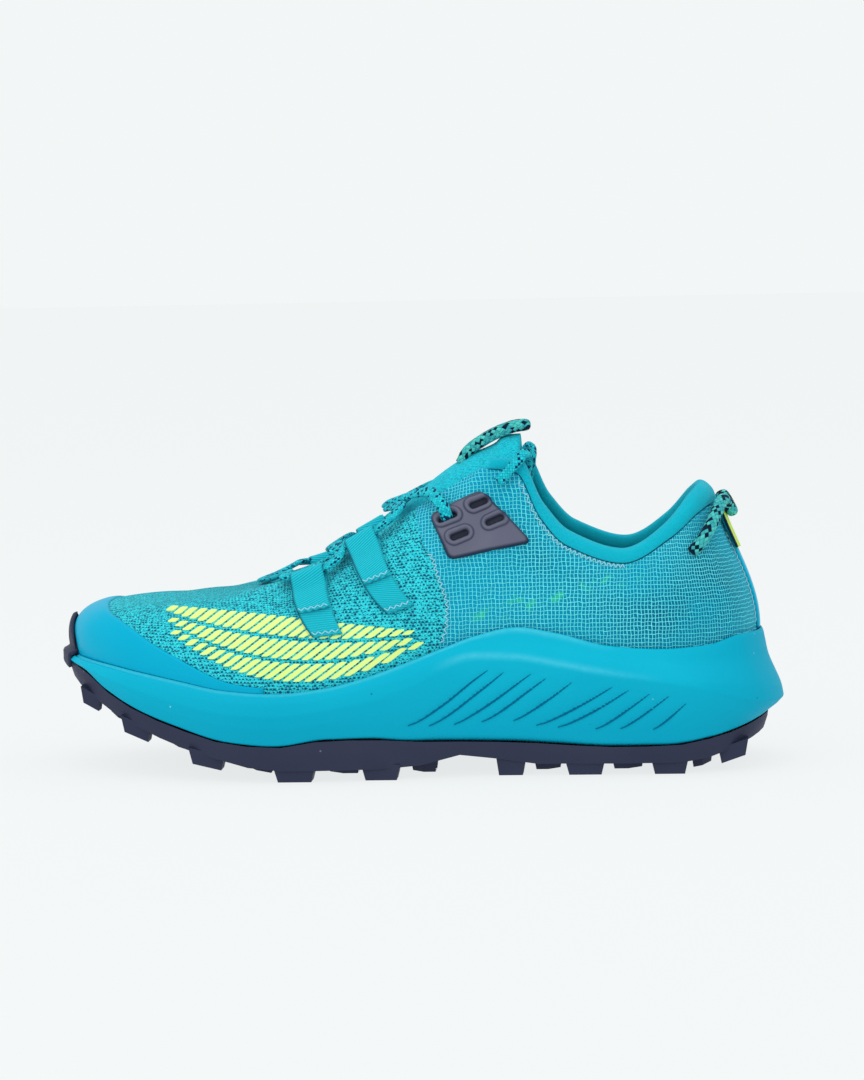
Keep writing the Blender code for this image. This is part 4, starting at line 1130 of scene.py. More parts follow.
@lru_cache(None)
def wall_runs(turn):
    """For even climbs: how far along the shoe and how far up the wall the cloth has come."""
    ahead = plan_outward(turn)
    ahead = Vector((ahead.y, -ahead.x, 0))
    place = abs(turn) * ROUND
    k = min(int(place), ROUND - 1)
    along = plan_runs[k] + (plan_runs[k + 1] - plan_runs[k]) * (place - k)
    along = math.copysign(along, turn) if turn else 0.0
    foot = skin(turn, 0)
    rows = [(along, foot.z)]
    last = foot
    up = foot.z
    for n in range(1, RISERS + 1):
        point = skin(turn, n / RISERS)
        step = point - last
        lean = step.dot(ahead)
        up += math.sqrt(max(step.length_squared - lean * lean, 0))
        along += lean
        rows.append((along, up))
        last = point
    return rows


def cloth_at(turn, climb):
    """A place on the upper's cloth, in metres along the shoe and up the wall."""
    rows = wall_runs(turn)
    place = clamped(climb) * RISERS
    k = min(int(place), RISERS - 1)
    share = place - k
    low, high = rows[k], rows[k + 1]
    return (
        low[0] + (high[0] - low[0]) * share,
        low[1] + (high[1] - low[1]) * share + min(climb, 0) * 0.05,
    )


CUFF_THICKNESS = 0.0055
# The turn at which the cuff ends, and the turns over which what it covers comes up from it.
CUFF_END = 0.50
CUFF_FADE = 0.04
CUFF_SIDE_HEIGHT = 0.0060
CUFF_HEEL_HEIGHT = 0.0090


@lru_cache(None)
def cuff_foot(turn):
    """The climb at which the padded cuff starts."""
    length = (edge_point(turn) - rim_point(turn)).length
    share = min(abs(turn) / 0.25, 1)
    tall = CUFF_HEEL_HEIGHT + (CUFF_SIDE_HEIGHT - CUFF_HEEL_HEIGHT) * share
    return 1 - tall / length


@lru_cache(None)
def upper_top(turn):
    """The climb at which the upper's wall ends: under the cuff, or at the throat's edge."""
    gap = GAP / (edge_point(turn) - rim_point(turn)).length
    under = cuff_foot(turn) - gap
    return under + (1 - under) * clamped((abs(turn) - CUFF_END) / CUFF_FADE)


# The seam between the knit and the mesh, from the rim up.
Seam = namedtuple("Seam", "climb turn")
SEAM = (
    Seam(0.00, 0.480),
    Seam(0.11, 0.475),
    Seam(0.25, 0.480),
    Seam(0.37, 0.495),
    Seam(0.51, 0.515),
    Seam(0.68, 0.550),
    Seam(0.87, 0.585),
    Seam(1.00, 0.610),
)


def seam_turn(climb):
    k = next((n for n in range(len(SEAM) - 2) if climb <= SEAM[n + 1].climb), len(SEAM) - 2)
    low, high = SEAM[k], SEAM[k + 1]
    return low.turn + (high.turn - low.turn) * (climb - low.climb) / (high.climb - low.climb)


# Where the mesh's holes show dark: soft patches with their reach in turn and climb.
Patch = namedtuple("Patch", "turn climb wide tall share")
DARK_PATCHES = (
    Patch(0.20, 0.30, 0.13, 0.34, 1.00),
    Patch(0.40, 0.62, 0.05, 0.20, 0.35),
)
# The line in x and z along which green shows through the lateral mesh, and its half width.
GREEN_LINE = (Vector((-0.027, 0.0605)), Vector((-0.084, 0.0750)))
GREEN_WIDE = 0.0026
# The share of the upper's rows that lies below the midsole's rim.
FOOT_SHARE = 0.05


def upper_marks(turn, climb, point):
    """Where the cloth is mesh, where its holes show dark, and where green shows through."""
    behind = (seam_turn(climb) - abs(turn)) * 300
    dark = 0.0
    for patch in DARK_PATCHES:
        x = (abs(turn) - patch.turn) / patch.wide
        y = (climb - patch.climb) / patch.tall
        dark += patch.share * math.exp(-(x**2) - y**2)
    start, end = GREEN_LINE
    step = end - start
    here = Vector((point.x, point.z)) - start
    share = clamped(here.dot(step) / step.length_squared)
    off = (here - step * share).length
    green = math.exp(-((off / GREEN_WIDE) ** 2)) if turn > 0 else 0.0
    return behind, dark, green


def upper_place(a, b):
    turn = 2 * a - 1
    if b < FOOT_SHARE:
        drop = 1 - b / FOOT_SHARE
        foot = raised(turn, 0, 0)
        bed = bed_height(turn, cup_inset(turn)) + 2 * GAP
        point = foot.lerp(Vector((foot.x, foot.y, bed)), drop)
        return point, cloth_at(turn, -0.1 * drop), *upper_marks(turn, 0, point)
    climb = (b - FOOT_SHARE) / (1 - FOOT_SHARE) * upper_top(turn)
    curl = max(0.0, (b - 0.985) / 0.015)
    point = raised(turn, climb, -0.0005 * curl**2)
    return point, cloth_at(turn, climb), *upper_marks(turn, climb, point)


# Knitted cloth: rows of small dark pinholes between bright looped yarns.
knit, knit_in, knit_out = new_group(
    "knit", {"Wide": 0.0014, "Tall": 0.0014, "Holes": 0.3}, ("Height", "Hole", "Loop")
)
parts = add_node(knit, "SeparateXYZ", {0: knit_in["Map"]}).outputs
wide = calc(knit, "DIVIDE", parts[0], knit_in["Wide"])
tall = calc(knit, "DIVIDE", parts[1], knit_in["Tall"])
shift = calc(knit, "MULTIPLY", calc(knit, "FLOORED_MODULO", calc(knit, "FLOOR", tall), 2.0), 0.5)
cells = add_node(knit, "CombineXYZ", {0: calc(knit, "ADD", wide, shift), 1: tall}).outputs[0]
holes = add_node(
    knit, "TexVoronoi", {0: cells, "Scale": 1.0, "Randomness": 0.42}, voronoi_dimensions="2D"
)
random_size = add_node(knit, "SeparateColor", {0: holes.outputs[1]}).outputs[0]
size = calc(knit, "MULTIPLY", knit_in["Holes"], calc(knit, "MULTIPLY_ADD", random_size, 0.9, 0.45))
edge = calc(knit, "DIVIDE", holes.outputs[0], size)
hole = calc(knit, "SUBTRACT", 1.6, edge, clamp=True)
yarns = add_node(
    knit,
    "TexVoronoi",
    {0: cells, "Scale": 2.6, "Randomness": 0.9},
    voronoi_dimensions="2D",
    feature="SMOOTH_F1",
)
loop = calc(knit, "SUBTRACT", 1.0, calc(knit, "MULTIPLY", yarns.outputs[0], 1.5), clamp=True)
knit.links.new(hole, knit_out["Hole"])
knit.links.new(loop, knit_out["Loop"])
solid_yarn = calc(knit, "SUBTRACT", 1.0, hole)
relief = calc(knit, "MULTIPLY", solid_yarn, calc(knit, "MULTIPLY_ADD", loop, 0.5, 0.5))
knit.links.new(relief, knit_out["Height"])

# Open mesh: upright and level threads a pitch apart, slightly wavy, with holes between them.
net, net_in, net_out = new_group(
    "open_mesh", {"Wide": 0.0014, "Tall": 0.0016}, ("Height", "Thread")
)
wobble = add_node(
    net, "TexNoise", {0: net_in["Map"], "Scale": 260.0, "Detail": 1.0}, noise_dimensions="2D"
)
parts = add_node(net, "SeparateXYZ", {0: net_in["Map"]}).outputs
shaken = calc(net, "MULTIPLY_ADD", wobble.outputs[0], 0.7, -0.35)
wide = calc(net, "ADD", calc(net, "DIVIDE", parts[0], net_in["Wide"]), shaken)
tall = calc(net, "ADD", calc(net, "DIVIDE", parts[1], net_in["Tall"]), shaken)
upright = calc(net, "MULTIPLY", calc(net, "PINGPONG", wide, 0.5), 2.0)
level = calc(net, "MULTIPLY", calc(net, "PINGPONG", tall, 0.5), 2.0)
thread_up = calc(net, "SUBTRACT", 1.0, calc(net, "DIVIDE", upright, 0.38), clamp=True)
thread_level = calc(net, "SUBTRACT", 1.0, calc(net, "DIVIDE", level, 0.30), clamp=True)
thread = calc(net, "MAXIMUM", thread_up, thread_level)
net.links.new(calc(net, "POWER", thread, 0.5), net_out["Height"])
net.links.new(calc(net, "MULTIPLY_ADD", thread, 2.4, -0.5, clamp=True), net_out["Thread"])


cloth_material, tree, shader = new_material("upper_cloth", 0.80, Sheen_Weight=0.04)
flat_map = cloth_map(tree)
stitched = use_group(tree, knit, {"Map": flat_map, "Wide": 0.00150, "Tall": 0.00125, "Holes": 0.29})
open_cloth = use_group(tree, net, {"Map": flat_map, "Wide": 0.00135, "Tall": 0.00155})
behind = mark(tree, "seam")
is_mesh = calc(tree, "MULTIPLY_ADD", behind, 4.0, 0.5, clamp=True)
drift = add_node(tree, "TexNoise", {0: object_map(tree), "Scale": 45.0, "Detail": 3.0}).outputs[0]
knit_tone = blend_colour(tree, stitched["Loop"], (0.001, 0.400, 0.530, 1), (0.070, 0.900, 0.960, 1))
pinhole = calc(tree, "MULTIPLY", stitched["Hole"], 0.95)
knit_tone = blend_colour(tree, pinhole, knit_tone, (0.001, 0.030, 0.100, 1))
uneven = calc(tree, "MULTIPLY_ADD", drift, 1.6, -0.1)
dark_share = calc(tree, "MULTIPLY", mark(tree, "open"), uneven, clamp=True)
ground = blend_colour(tree, dark_share, (0.001, 0.300, 0.490, 1), (0.001, 0.040, 0.120, 1))
blotch = add_node(tree, "TexNoise", {0: flat_map, "Scale": 190.0}).outputs[0]
patch = calc(tree, "MULTIPLY_ADD", blotch, 6.0, -3.1, clamp=True)
green_share = calc(tree, "MULTIPLY", mark(tree, "green"), patch)
ground = blend_colour(tree, green_share, ground, (0.03, 0.56, 0.20, 1))
thread_tone = blend_colour(tree, drift, (0.010, 0.600, 0.760, 1), (0.200, 0.980, 1.000, 1))
net_tone = blend_colour(tree, open_cloth["Thread"], ground, thread_tone)
tone = blend_colour(tree, is_mesh, knit_tone, net_tone)
relief = add_node(tree, "Mix", {0: is_mesh, 2: stitched["Height"], 3: open_cloth["Height"]}).outputs[0]
join_finish(tree, shader, tone, relief, 0.0004)


def use_knit(tree, wide, tall, holes):
    """The knit on the piece's own cloth, with its loops' pitch and its holes' size."""
    return use_group(
        tree, knit, {"Map": cloth_map(tree), "Wide": wide, "Tall": tall, "Holes": holes}
    )


def plain_knit(name, roughness, pitch, holes, base, light, pit, pit_share, strength):
    """A plain knit in two tones of yarn, with the pits between its loops darker."""
    material, tree, shader = new_material(name, roughness, Sheen_Weight=0.05)
    yarn = use_knit(tree, *pitch, holes)
    tone = blend_colour(tree, yarn["Loop"], base, light)
    tone = blend_colour(tree, calc(tree, "MULTIPLY", yarn["Hole"], pit_share), tone, pit)
    join_finish(tree, shader, tone, yarn["Height"], 0.0003, strength)
    return material


lining_material = plain_knit(
    "lining",
    0.88,
    pitch=(0.0011, 0.0009),
    holes=0.22,
    base=(0.006, 0.150, 0.260, 1),
    light=(0.020, 0.260, 0.390, 1),
    pit=(0.003, 0.04, 0.10, 1),
    pit_share=0.6,
    strength=0.6,
)


def backed(obj, thickness, second=0):
    """Gives the sheet a wall under its faces, and its back the second of its materials."""
    modifier = obj.modifiers.new("wall", "SOLIDIFY")
    modifier.thickness = thickness
    modifier.offset = -1
    modifier.material_offset = second


UPPER_COLUMNS = 480
UPPER_ROWS = 76
builder = laid_grid(
    UPPER_COLUMNS, UPPER_ROWS, upper_place, sideways, marks=("seam", "open", "green")
)
bmesh.ops.remove_doubles(builder, verts=builder.verts, dist=1e-6)
upper = grown(builder, "knit_upper", [cloth_material, lining_material])
dress(upper, "upper_knit", "upper")
backed(upper, WALL, second=1)

# The toe cap: a smooth plastic film, welded hot over the front of the knit, so that the knit's
# loops show through it faintly. It is thinned at its free edge.

CAP_FOOT = 0.005
CAP_THICKNESS = 0.0008
CAP_INSIDE = Vector((0.05, -0.01, 0.04))
Cap = namedtuple("Cap", "turn edge")
CAP_EDGE = (
    Cap(0.660, 0.040),
    Cap(0.690, 0.050),
    Cap(0.745, 0.110),
    Cap(0.800, 0.185),
    Cap(0.840, 0.250),
    Cap(0.880, 0.310),
    Cap(0.940, 0.390),
    Cap(1.000, 0.430),
)


def cap_place(a, b):
    """From the lateral end of the cap round the toe to the medial end, and up to its edge."""
    reach = 1 - CAP_EDGE[0].turn
    turn = 1 + reach * (2 * a - 1)
    row = min(turn, 2 - turn)
    turn = turn if turn <= 1 else turn - 2
    edge = follow(CAP_EDGE, "edge", "turn", row)
    climb = CAP_FOOT + (edge - CAP_FOOT) * b
    thin = 1 - max(0.0, (b - 0.90) / 0.10) ** 2
    return raised(turn, climb, GAP + CAP_THICKNESS * thin), cloth_at(turn, climb)


film_material, tree, shader, tone = moulded_material(
    "cap_film",
    (0.000, 0.380, 0.590, 1),
    (0.000, 0.420, 0.630, 1),
    (0.10, 0.60, 0.72, 1),
    (0.00, 0.15, 0.30, 1),
    0.40,
    grain=900,
    amount=0.3,
    depth=0.00004,
)
# The knit under the film shows through it as a faint relief.
join_finish(tree, shader, tone, use_knit(tree, 0.00150, 0.00125, 0.27)["Height"], 0.00008, 0.35)
builder = laid_grid(96, 36, cap_place, lambda point: point - CAP_INSIDE)
cap = dress(grown(builder, "toe_film", [film_material]), "cap_film", "toe_cap")
backed(cap, CAP_THICKNESS)

# The bumper: the front end of the outsole's rubber sheet, turned up over the tip of the toe and
# bonded to the foam and the cap. It gets thinner towards both its sides.

SHEET_EDGE = 0.0015
BUMPER_TURN = 0.945
BUMPER_CLIMB = 0.21
BUMPER_THICKNESS = 0.0018
BUMPER_WALL = 0.0014
# The share of the bumper's rows that lies over the midsole.
BUMPER_FOOT = 0.35


def bumper_place(a, b):
    turn = 1 + (1 - BUMPER_TURN) * (2 * a - 1)
    share = 1 - abs(2 * a - 1)
    turn = turn if turn <= 1 else turn - 2
    thick = BUMPER_THICKNESS * (0.35 + 0.65 * share)
    top = 0.03 + (BUMPER_CLIMB - 0.03) * math.sqrt(share)
    back = min(foot_inset(turn), inset("low_in", turn)) - GAP
    bottom = height("foot", turn) - 1.5 * SHEET_EDGE
    shoulder = height("rim", turn) + 2 * GAP
    under = 3 * GAP + CAP_THICKNESS
    round_off = 1 - max(0.0, abs(2 * b - 1) - 0.86) / 0.14 * 0.6
    if b < BUMPER_FOOT:
        level = bottom + (shoulder - bottom) * b / BUMPER_FOOT
        point = around(turn, back - thick * round_off, level)
    else:
        climb = 0.025 + (top - 0.025) * (b - BUMPER_FOOT) / (1 - BUMPER_FOOT)
        point = raised(turn, climb, under + thick * round_off)
    return point, (a, b)


builder = laid_grid(48, 32, bumper_place, lambda point: Vector((1, 0, 0.2)))
bmesh.ops.smooth_vert(
    builder, verts=builder.verts, factor=0.5, use_axis_x=True, use_axis_y=True, use_axis_z=True
)
bumper = grown(builder, "toe_bumper_rubber", [rubber_material])
dress(bumper, "outsole_rubber", "toe_bumper")
backed(bumper, BUMPER_WALL)

# The collar: a padded band of brushed knit rolled over soft foam and sewn to the mesh below it
# with a zigzag of pale thread.

collar_material, tree, shader = new_material("collar_knit", 0.82, Sheen_Weight=0.08)
fibre = use_knit(tree, 0.0008, 0.0007, 0.12)
soft = add_node(tree, "TexNoise", {0: object_map(tree), "Scale": 60.0, "Detail": 3.0}).outputs[0]
tone = blend_colour(tree, fibre["Loop"], (0.001, 0.330, 0.460, 1), (0.006, 0.560, 0.700, 1))
tone = blend_colour(tree, calc(tree, "MULTIPLY", soft, 0.35), tone, (0.002, 0.52, 0.66, 1))
join_finish(tree, shader, tone, fibre["Height"], 0.00022, 0.7)

# The collar's section: up as a share of its height, and out as a share of its thickness.
COLLAR_SECTION = [
    Vector(corner)
    for corner in (
        (0.00, 0.02),
        (0.30, 0.10),
        (0.65, 0.06),
        (0.90, -0.16),
        (1.00, -0.50),
        (0.88, -0.80),
        (0.60, -0.94),
        (0.25, -0.96),
        (0.00, -0.80),
    )
]
collar_line = smooth_path(COLLAR_SECTION + COLLAR_SECTION[:1], 4)


def collar_place(a, b):
    turn = CUFF_END * (2 * a - 1)
    spot, _ = along_path(collar_line, b)
    low = cuff_foot(turn)
    climb = low + (1 - low) * spot.x
    puff = 1 + 0.05 * math.sin(turn * 90) * math.exp(-(((abs(turn) - 0.32) / 0.10) ** 2))
    return raised(turn, climb, spot.y * CUFF_THICKNESS * puff), (cloth_at(turn, 1)[0], b * 0.018)


builder = laid_grid(300, 36, collar_place, closed=True)
collar = dress(grown(builder, "padded_collar", [collar_material]), "cuff_knit", "collar_cuff")
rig.padded(collar, fill=0.7)

# The strip down the heel: a narrow piece of the same film as the toe cap, welded over the back
# seam from the rim up to the collar and sewn along both its edges.

STRIP_TURN = 0.036


def strip_place(a, b):
    turn = STRIP_TURN * (2 * a - 1)
    climb = 0.01 + (cuff_foot(turn) - 0.02) * b
    thin = 1 - max(0.0, (abs(2 * a - 1) - 0.85) / 0.15) ** 2 * 0.7
    return raised(turn, climb, GAP + CAP_THICKNESS * thin), cloth_at(turn, climb)


builder = laid_grid(16, 60, strip_place, lambda point: Vector((-1, 0, 0)))
strip = dress(grown(builder, "back_seam_strip", [film_material]), "cap_film", "heel_strip")
backed(strip, CAP_THICKNESS)

# The tongue: a thin padded knit that slips under the throat's edges. It is made by the same
# rows as its solid: a flap under each side of the throat and a crown between them.

TONGUE_THICKNESS = 0.005
TONGUE_OVERLAP = 0.008
TONGUE_CELLS = 16
TONGUE_PUFF = 0.0008
# The middle line of the tongue's outer face, as a share of UPPER_HEIGHT above BED_LEVEL.
Crown = namedtuple("Crown", "station height")
CROWNS = (
    Crown(0.350, 0.990),
    Crown(0.372, 0.985),
    Crown(0.395, 0.955),
    Crown(0.421, 0.915),
    Crown(0.450, 0.865),
    Crown(0.480, 0.800),
    Crown(0.520, 0.695),
    Crown(0.560, 0.600),
    Crown(0.600, 0.510),
    Crown(0.640, 0.430),
    Crown(0.690, 0.352),
)


def climb_back(turn, distance):
    """The climb that lies this far down the wall from its top edge."""
    return 1 - distance / (edge_point(turn) - rim_point(turn)).length


def under_depth(turn):
    """How deep the tongue runs under the outer face: inside the cuff, or inside the wall."""
    share = clamped((abs(turn) - CUFF_END) / CUFF_FADE)
    return (1 - share) * CUFF_THICKNESS + share * WALL + 2 * GAP


@lru_cache(None)
def tongue_row(turn):
    """The lateral flap's points, those of the crown between the flaps, then the medial's."""
    station = follow(EDGES, "station", "turn", turn)
    crown = instep(follow(CROWNS, "height", "station", station))
    flaps = {}
    for sign in (1, -1):
        flaps[sign] = [
            raised(sign * turn, climb_back(turn, distance), -under_depth(turn))
            for distance in (TONGUE_OVERLAP, 0.5 * TONGUE_OVERLAP, 0.0)
        ]
    lateral = flaps[1][-1]
    medial = flaps[-1][-1]
    dome = []
    for n in range(1, TONGUE_CELLS):
        point = lateral.lerp(medial, n / TONGUE_CELLS)
        share = 2 * n / TONGUE_CELLS - 1
        point.z += (crown - 0.5 * (lateral.z + medial.z)) * (1 - share**2)
        dome.append(point)
    return flaps[1] + dome + flaps[-1][::-1]


TONGUE_FRONT = 0.88
TONGUE_BACK = 0.470


def tongue_place(a, b):
    turn = TONGUE_BACK + (TONGUE_FRONT - TONGUE_BACK) * b
    row = tongue_row(turn)
    point, _ = along_path(row, a)
    puff = TONGUE_PUFF * math.sin(math.pi * a) ** 2
    edge = max(0.0, abs(2 * a - 1) - 0.93) / 0.07
    point = point + Vector((0, 0, puff - TONGUE_PUFF * edge))
    return point, (0.075 * b, 0.06 * a)


tongue_material = plain_knit(
    "tongue_knit",
    0.84,
    pitch=(0.0012, 0.0010),
    holes=0.20,
    base=(0.001, 0.380, 0.520, 1),
    light=(0.020, 0.700, 0.800, 1),
    pit=(0.004, 0.08, 0.20, 1),
    pit_share=0.5,
    strength=0.7,
)
builder = laid_grid(60, 110, tongue_place, lambda point: Vector((0.4, 0, 1)))
tongue = grown(builder, "knit_tongue", [tongue_material, lining_material])
dress(tongue, "tongue_knit", "tongue")
backed(tongue, TONGUE_THICKNESS, second=1)
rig.padded(tongue, fill=0.4)

# The sock liner: a footbed of moulded foam under a close mesh cloth, laid loose in the shoe.
# A shallow rise runs round it just inside its edge.

INSOLE_THICKNESS = 0.004
TUCK_RADIUS = 0.004


def insole_place(a, b):
    turn = 2 * a - 1
    margin = cup_inset(turn) + 2 * GAP + WALL + 0.35 * TUCK_RADIUS
    rim = around(turn, margin, 0)
    middle = Vector((rim.x * 0.86, rim.y * 0.10, 0))
    point = rim.lerp(middle, b)
    station = point.x / LENGTH + 0.5
    z = follow(SIDES, "bed", "station", station) * SOLE_HEIGHT + 2 * GAP + WALL + INSOLE_THICKNESS
    lip = max(0.0, 1 - b / 0.06)
    point.z = z - 0.0016 * lip**2 + 0.0008 * math.exp(-(((b - 0.10) / 0.08) ** 2))
    return point, (point.x, point.y)


insole_material, tree, shader = new_material("insole_cloth", 0.86)
weave = use_group(tree, net, {"Map": cloth_map(tree), "Wide": 0.0009, "Tall": 0.0009})
tone = blend_colour(tree, weave["Thread"], (0.010, 0.085, 0.140, 1), (0.030, 0.210, 0.300, 1))
join_finish(tree, shader, tone, weave["Height"], 0.0002, 0.6)
builder = laid_grid(200, 26, insole_place, lambda point: Vector((0, 0, 1)))
bmesh.ops.remove_doubles(builder, verts=builder.verts, dist=1e-6)
insole = dress(grown(builder, "sock_liner", [insole_material]), "insole_foam", "insole")
backed(insole, INSOLE_THICKNESS - 0.0006)


# The two eyelet plates, one on each side of the throat. Each is a thin moulded plastic plate,
# welded to the knit, with rounded corners and four slanting slots whose rims stand proud.

PLATE_THICKNESS = 0.0015
RIM_LIFT = 0.0008
SLOT_LENGTH = 0.0074
SLOT_WIDTH = 0.0027
SLOT_BORDER = 0.0018
SLOT_TILT = 25
# The plate's corners, from its upper front one, and the middles of its slots: (turn, climb).
PLATE_CORNERS = ((0.560, 0.81), (0.495, 0.81), (0.420, 0.68), (0.495, 0.47))
SLOTS = ((0.490, 0.735), (0.521, 0.705), (0.463, 0.640), (0.495, 0.585))
PLATE_ROUND = 0.0026
PLATE_EDGE = 0.0011
PLATE_SLOPE = 0.0004
PLATE_SKIRT = 0.0006
SLOT_FLOOR = 0.0002
RING_WIDE = 0.00045


def between(corners, a, b):
    """A place inside four corners, at shares a along the top edge and b down."""
    top = [(1 - a) * p + a * q for p, q in zip(corners[0], corners[1])]
    low = [(1 - a) * p + a * q for p, q in zip(corners[3], corners[2])]
    return [(1 - b) * p + b * q for p, q in zip(top, low)]


def eased(low, high, value):
    share = clamped((value - low) / (high - low))
    return share * share * (3 - 2 * share)


def plate_frame(sign):
    """The plate's middle, and its directions along the slots, across them and outwards."""
    turn, climb = between(PLATE_CORNERS, 0.5, 0.5)
    normal = skin_outward(sign * turn, climb)
    tilt = math.radians(SLOT_TILT)
    slope = Vector((-math.cos(tilt), 0, math.sin(tilt)))
    along = (slope - normal * slope.dot(normal)).normalized()
    return skin(sign * turn, climb), along, normal.cross(along), normal


def plate_shape(sign):
    """Two functions of a point: how far it lies outside the plate, and outside the nearest slot."""
    middle, along, across, normal = plate_frame(sign)

    def flat(point):
        return Vector(((point - middle).dot(along), (point - middle).dot(across)))

    corners = [flat(skin(sign * turn, climb)) for turn, climb in PLATE_CORNERS]
    sides = []
    for n, corner in enumerate(corners):
        run = (corners[(n + 1) % 4] - corner).normalized()
        out = Vector((run.y, -run.x))
        if out.dot(corner) < 0:
            out = -out
        sides.append((corner, out))
    holes = [flat(skin(sign * turn, climb)) for turn, climb in SLOTS]
    reach = 0.5 * (SLOT_LENGTH - SLOT_WIDTH)

    def outside(point):
        spot = flat(point)
        over = [(spot - corner).dot(out) + PLATE_ROUND for corner, out in sides]
        beyond = math.hypot(*[max(value, 0.0) for value in over])
        return (beyond if beyond > 0 else max(over)) - PLATE_ROUND

    def off_slot(point):
        spot = flat(point)
        gaps = []
        for hole in holes:
            x = max(abs(spot.x - hole.x) - reach, 0.0)
            gaps.append(math.hypot(x, spot.y - hole.y) - 0.5 * SLOT_WIDTH)
        return min(gaps)

    return outside, off_slot


def plate_builder(sign):
    outside, off_slot = plate_shape(sign)
    top = GAP + PLATE_THICKNESS

    def place(a, b):
        turn, climb = between(PLATE_CORNERS, -0.08 + 1.16 * a, -0.08 + 1.30 * b)
        point = skin(sign * turn, climb)
        rim = outside(point)
        slot = off_slot(point)
        fall = clamped((rim + PLATE_EDGE) / PLATE_EDGE)
        lift = top * math.sqrt(max(1 - fall * fall, 0.0)) - PLATE_SLOPE * eased(0.6, 1.0, fall)
        lift += RIM_LIFT * math.sin(math.pi * clamped(slot / SLOT_BORDER)) ** 0.8
        sunk = 1 - eased(-PLATE_SLOPE, 0.0001, slot)
        lift = lift * (1 - sunk) + SLOT_FLOOR * sunk
        point = raised(sign * turn, climb, lift)
        ring = max(1 - abs(slot - SLOT_BORDER) / RING_WIDE, 0.0)
        return point, (0.035 * a, 0.028 * b), sunk, max(eased(-0.0016, -0.0005, rim), ring)

    def out(centre):
        return Vector((0, sign, 0))

    builder = laid_grid(140, 132, place, out, marks=("hole", "border"))
    far = [vert for vert in builder.verts if outside(vert.co) > PLATE_SKIRT]
    bmesh.ops.delete(builder, geom=far, context="VERTS")
    return builder


plate_material, tree, shader, tone = moulded_material(
    "plate_plastic",
    base=(0.092, 0.098, 0.155, 1),
    cloudy=(0.125, 0.130, 0.190, 1),
    light=(0.20, 0.22, 0.28, 1),
    dark=(0.07, 0.09, 0.15, 1),
    roughness=0.42,
    grain=1800.0,
    amount=0.3,
    depth=0.00004,
    Specular_IOR_Level=0.3,
)
tone = blend_colour(tree, mark(tree, "border"), tone, (0.018, 0.024, 0.060, 1))
# Painted shade: the floor of each slot is coloured near black, for the shade inside the hole.
tone = blend_colour(tree, mark(tree, "hole"), tone, (0.004, 0.010, 0.030, 1))
tree.links.new(tone, shader.inputs["Base Color"])

for side_name, sign in BOTH_SIDES:
    plate = grown(plate_builder(sign), "slotted_plate_" + side_name, [plate_material])
    dress(plate, "plate_plastic", "eyelet_plate_" + side_name)

# The four folded bands that carry the lace, two on each side. Each is a flat polyester webbing
# with fine ribs, laid up the wall, turned over into a loop and sewn down again on itself.

BAND_THICKNESS = 0.0012
BAND_LOOP_RADIUS = 0.0026
BAND_FOLD = 0.60
BAND_ACROSS = 12
BAND_STEPS = 5
RIB_PITCH = 0.0009
# The corners of each band on the upper's skin, as (turn, climb).
Band = namedtuple("Band", "name top_front top_rear low_rear low_front")
BANDS = (
    Band("front", (0.712, 0.69), (0.669, 0.71), (0.590, 0.30), (0.625, 0.32)),
    Band("rear", (0.665, 0.84), (0.631, 0.86), (0.515, 0.30), (0.545, 0.32)),
)


def band_spot(band, sign, a, b, lift):
    corners = (band.top_front, band.top_rear, band.low_rear, band.low_front)
    turn, climb = between(corners, a, b)
    return raised(sign * turn, climb, lift)


def band_line(band, sign, a):
    """One thread of the webbing, from its foot up the wall, round its loop and down again."""
    first = GAP + 0.5 * BAND_THICKNESS
    second = first + BAND_THICKNESS + GAP
    rows = [band_spot(band, sign, a, b, first) for b in (1.0, 0.83, 0.66, 0.5, 0.33, 0.17, 0.0)]
    top = rows[-1]
    normal = (band_spot(band, sign, a, 0.0, 2 * first) - top).normalized()
    up = (top - band_spot(band, sign, a, 0.05, first)).normalized()
    for degrees in (-45, 0, 45, 90, 125):
        angle = math.radians(degrees)
        ahead = BAND_LOOP_RADIUS * math.cos(angle)
        rise = BAND_LOOP_RADIUS * (1 + math.sin(angle))
        rows.append(top + up * ahead + normal * rise)
    rows.append(band_spot(band, sign, a, 0.13, second + 0.5 * BAND_LOOP_RADIUS))
    rows += [band_spot(band, sign, a, b, second) for b in (0.22, 0.4, BAND_FOLD)]
    return smooth_path(rows, BAND_STEPS)


def ribbon_builder(lines, thickness, sign):
    """A closed band of cloth through the threads in lines, its sides thinner than its middle."""
    across = len(lines) - 1
    last = len(lines[0]) - 1
    runs = [0.0]
    for one, other in zip(lines[0], lines[0][1:]):
        runs.append(runs[-1] + (other - one).length)
    wide = (lines[-1][0] - lines[0][0]).length
    girth = 2 * across + 2

    def place(a, b):
        row = round(a * last)
        step = round(b * girth) % girth
        over = step <= across
        line = step if over else girth - 1 - step
        point = lines[line][row]
        ahead = lines[line][min(row + 1, last)] - lines[line][max(row - 1, 0)]
        aside = lines[min(line + 1, across)][row] - lines[max(line - 1, 0)][row]
        outward = aside.cross(ahead).normalized() * sign
        thick = 0.5 * thickness * (0.45 if line in (0, across) else 1.0)
        point = point + outward * (thick if over else -thick)
        return point, (runs[row], wide * line / across), line / across

    return laid_grid(last, girth, place, closed=True, marks=("share",))


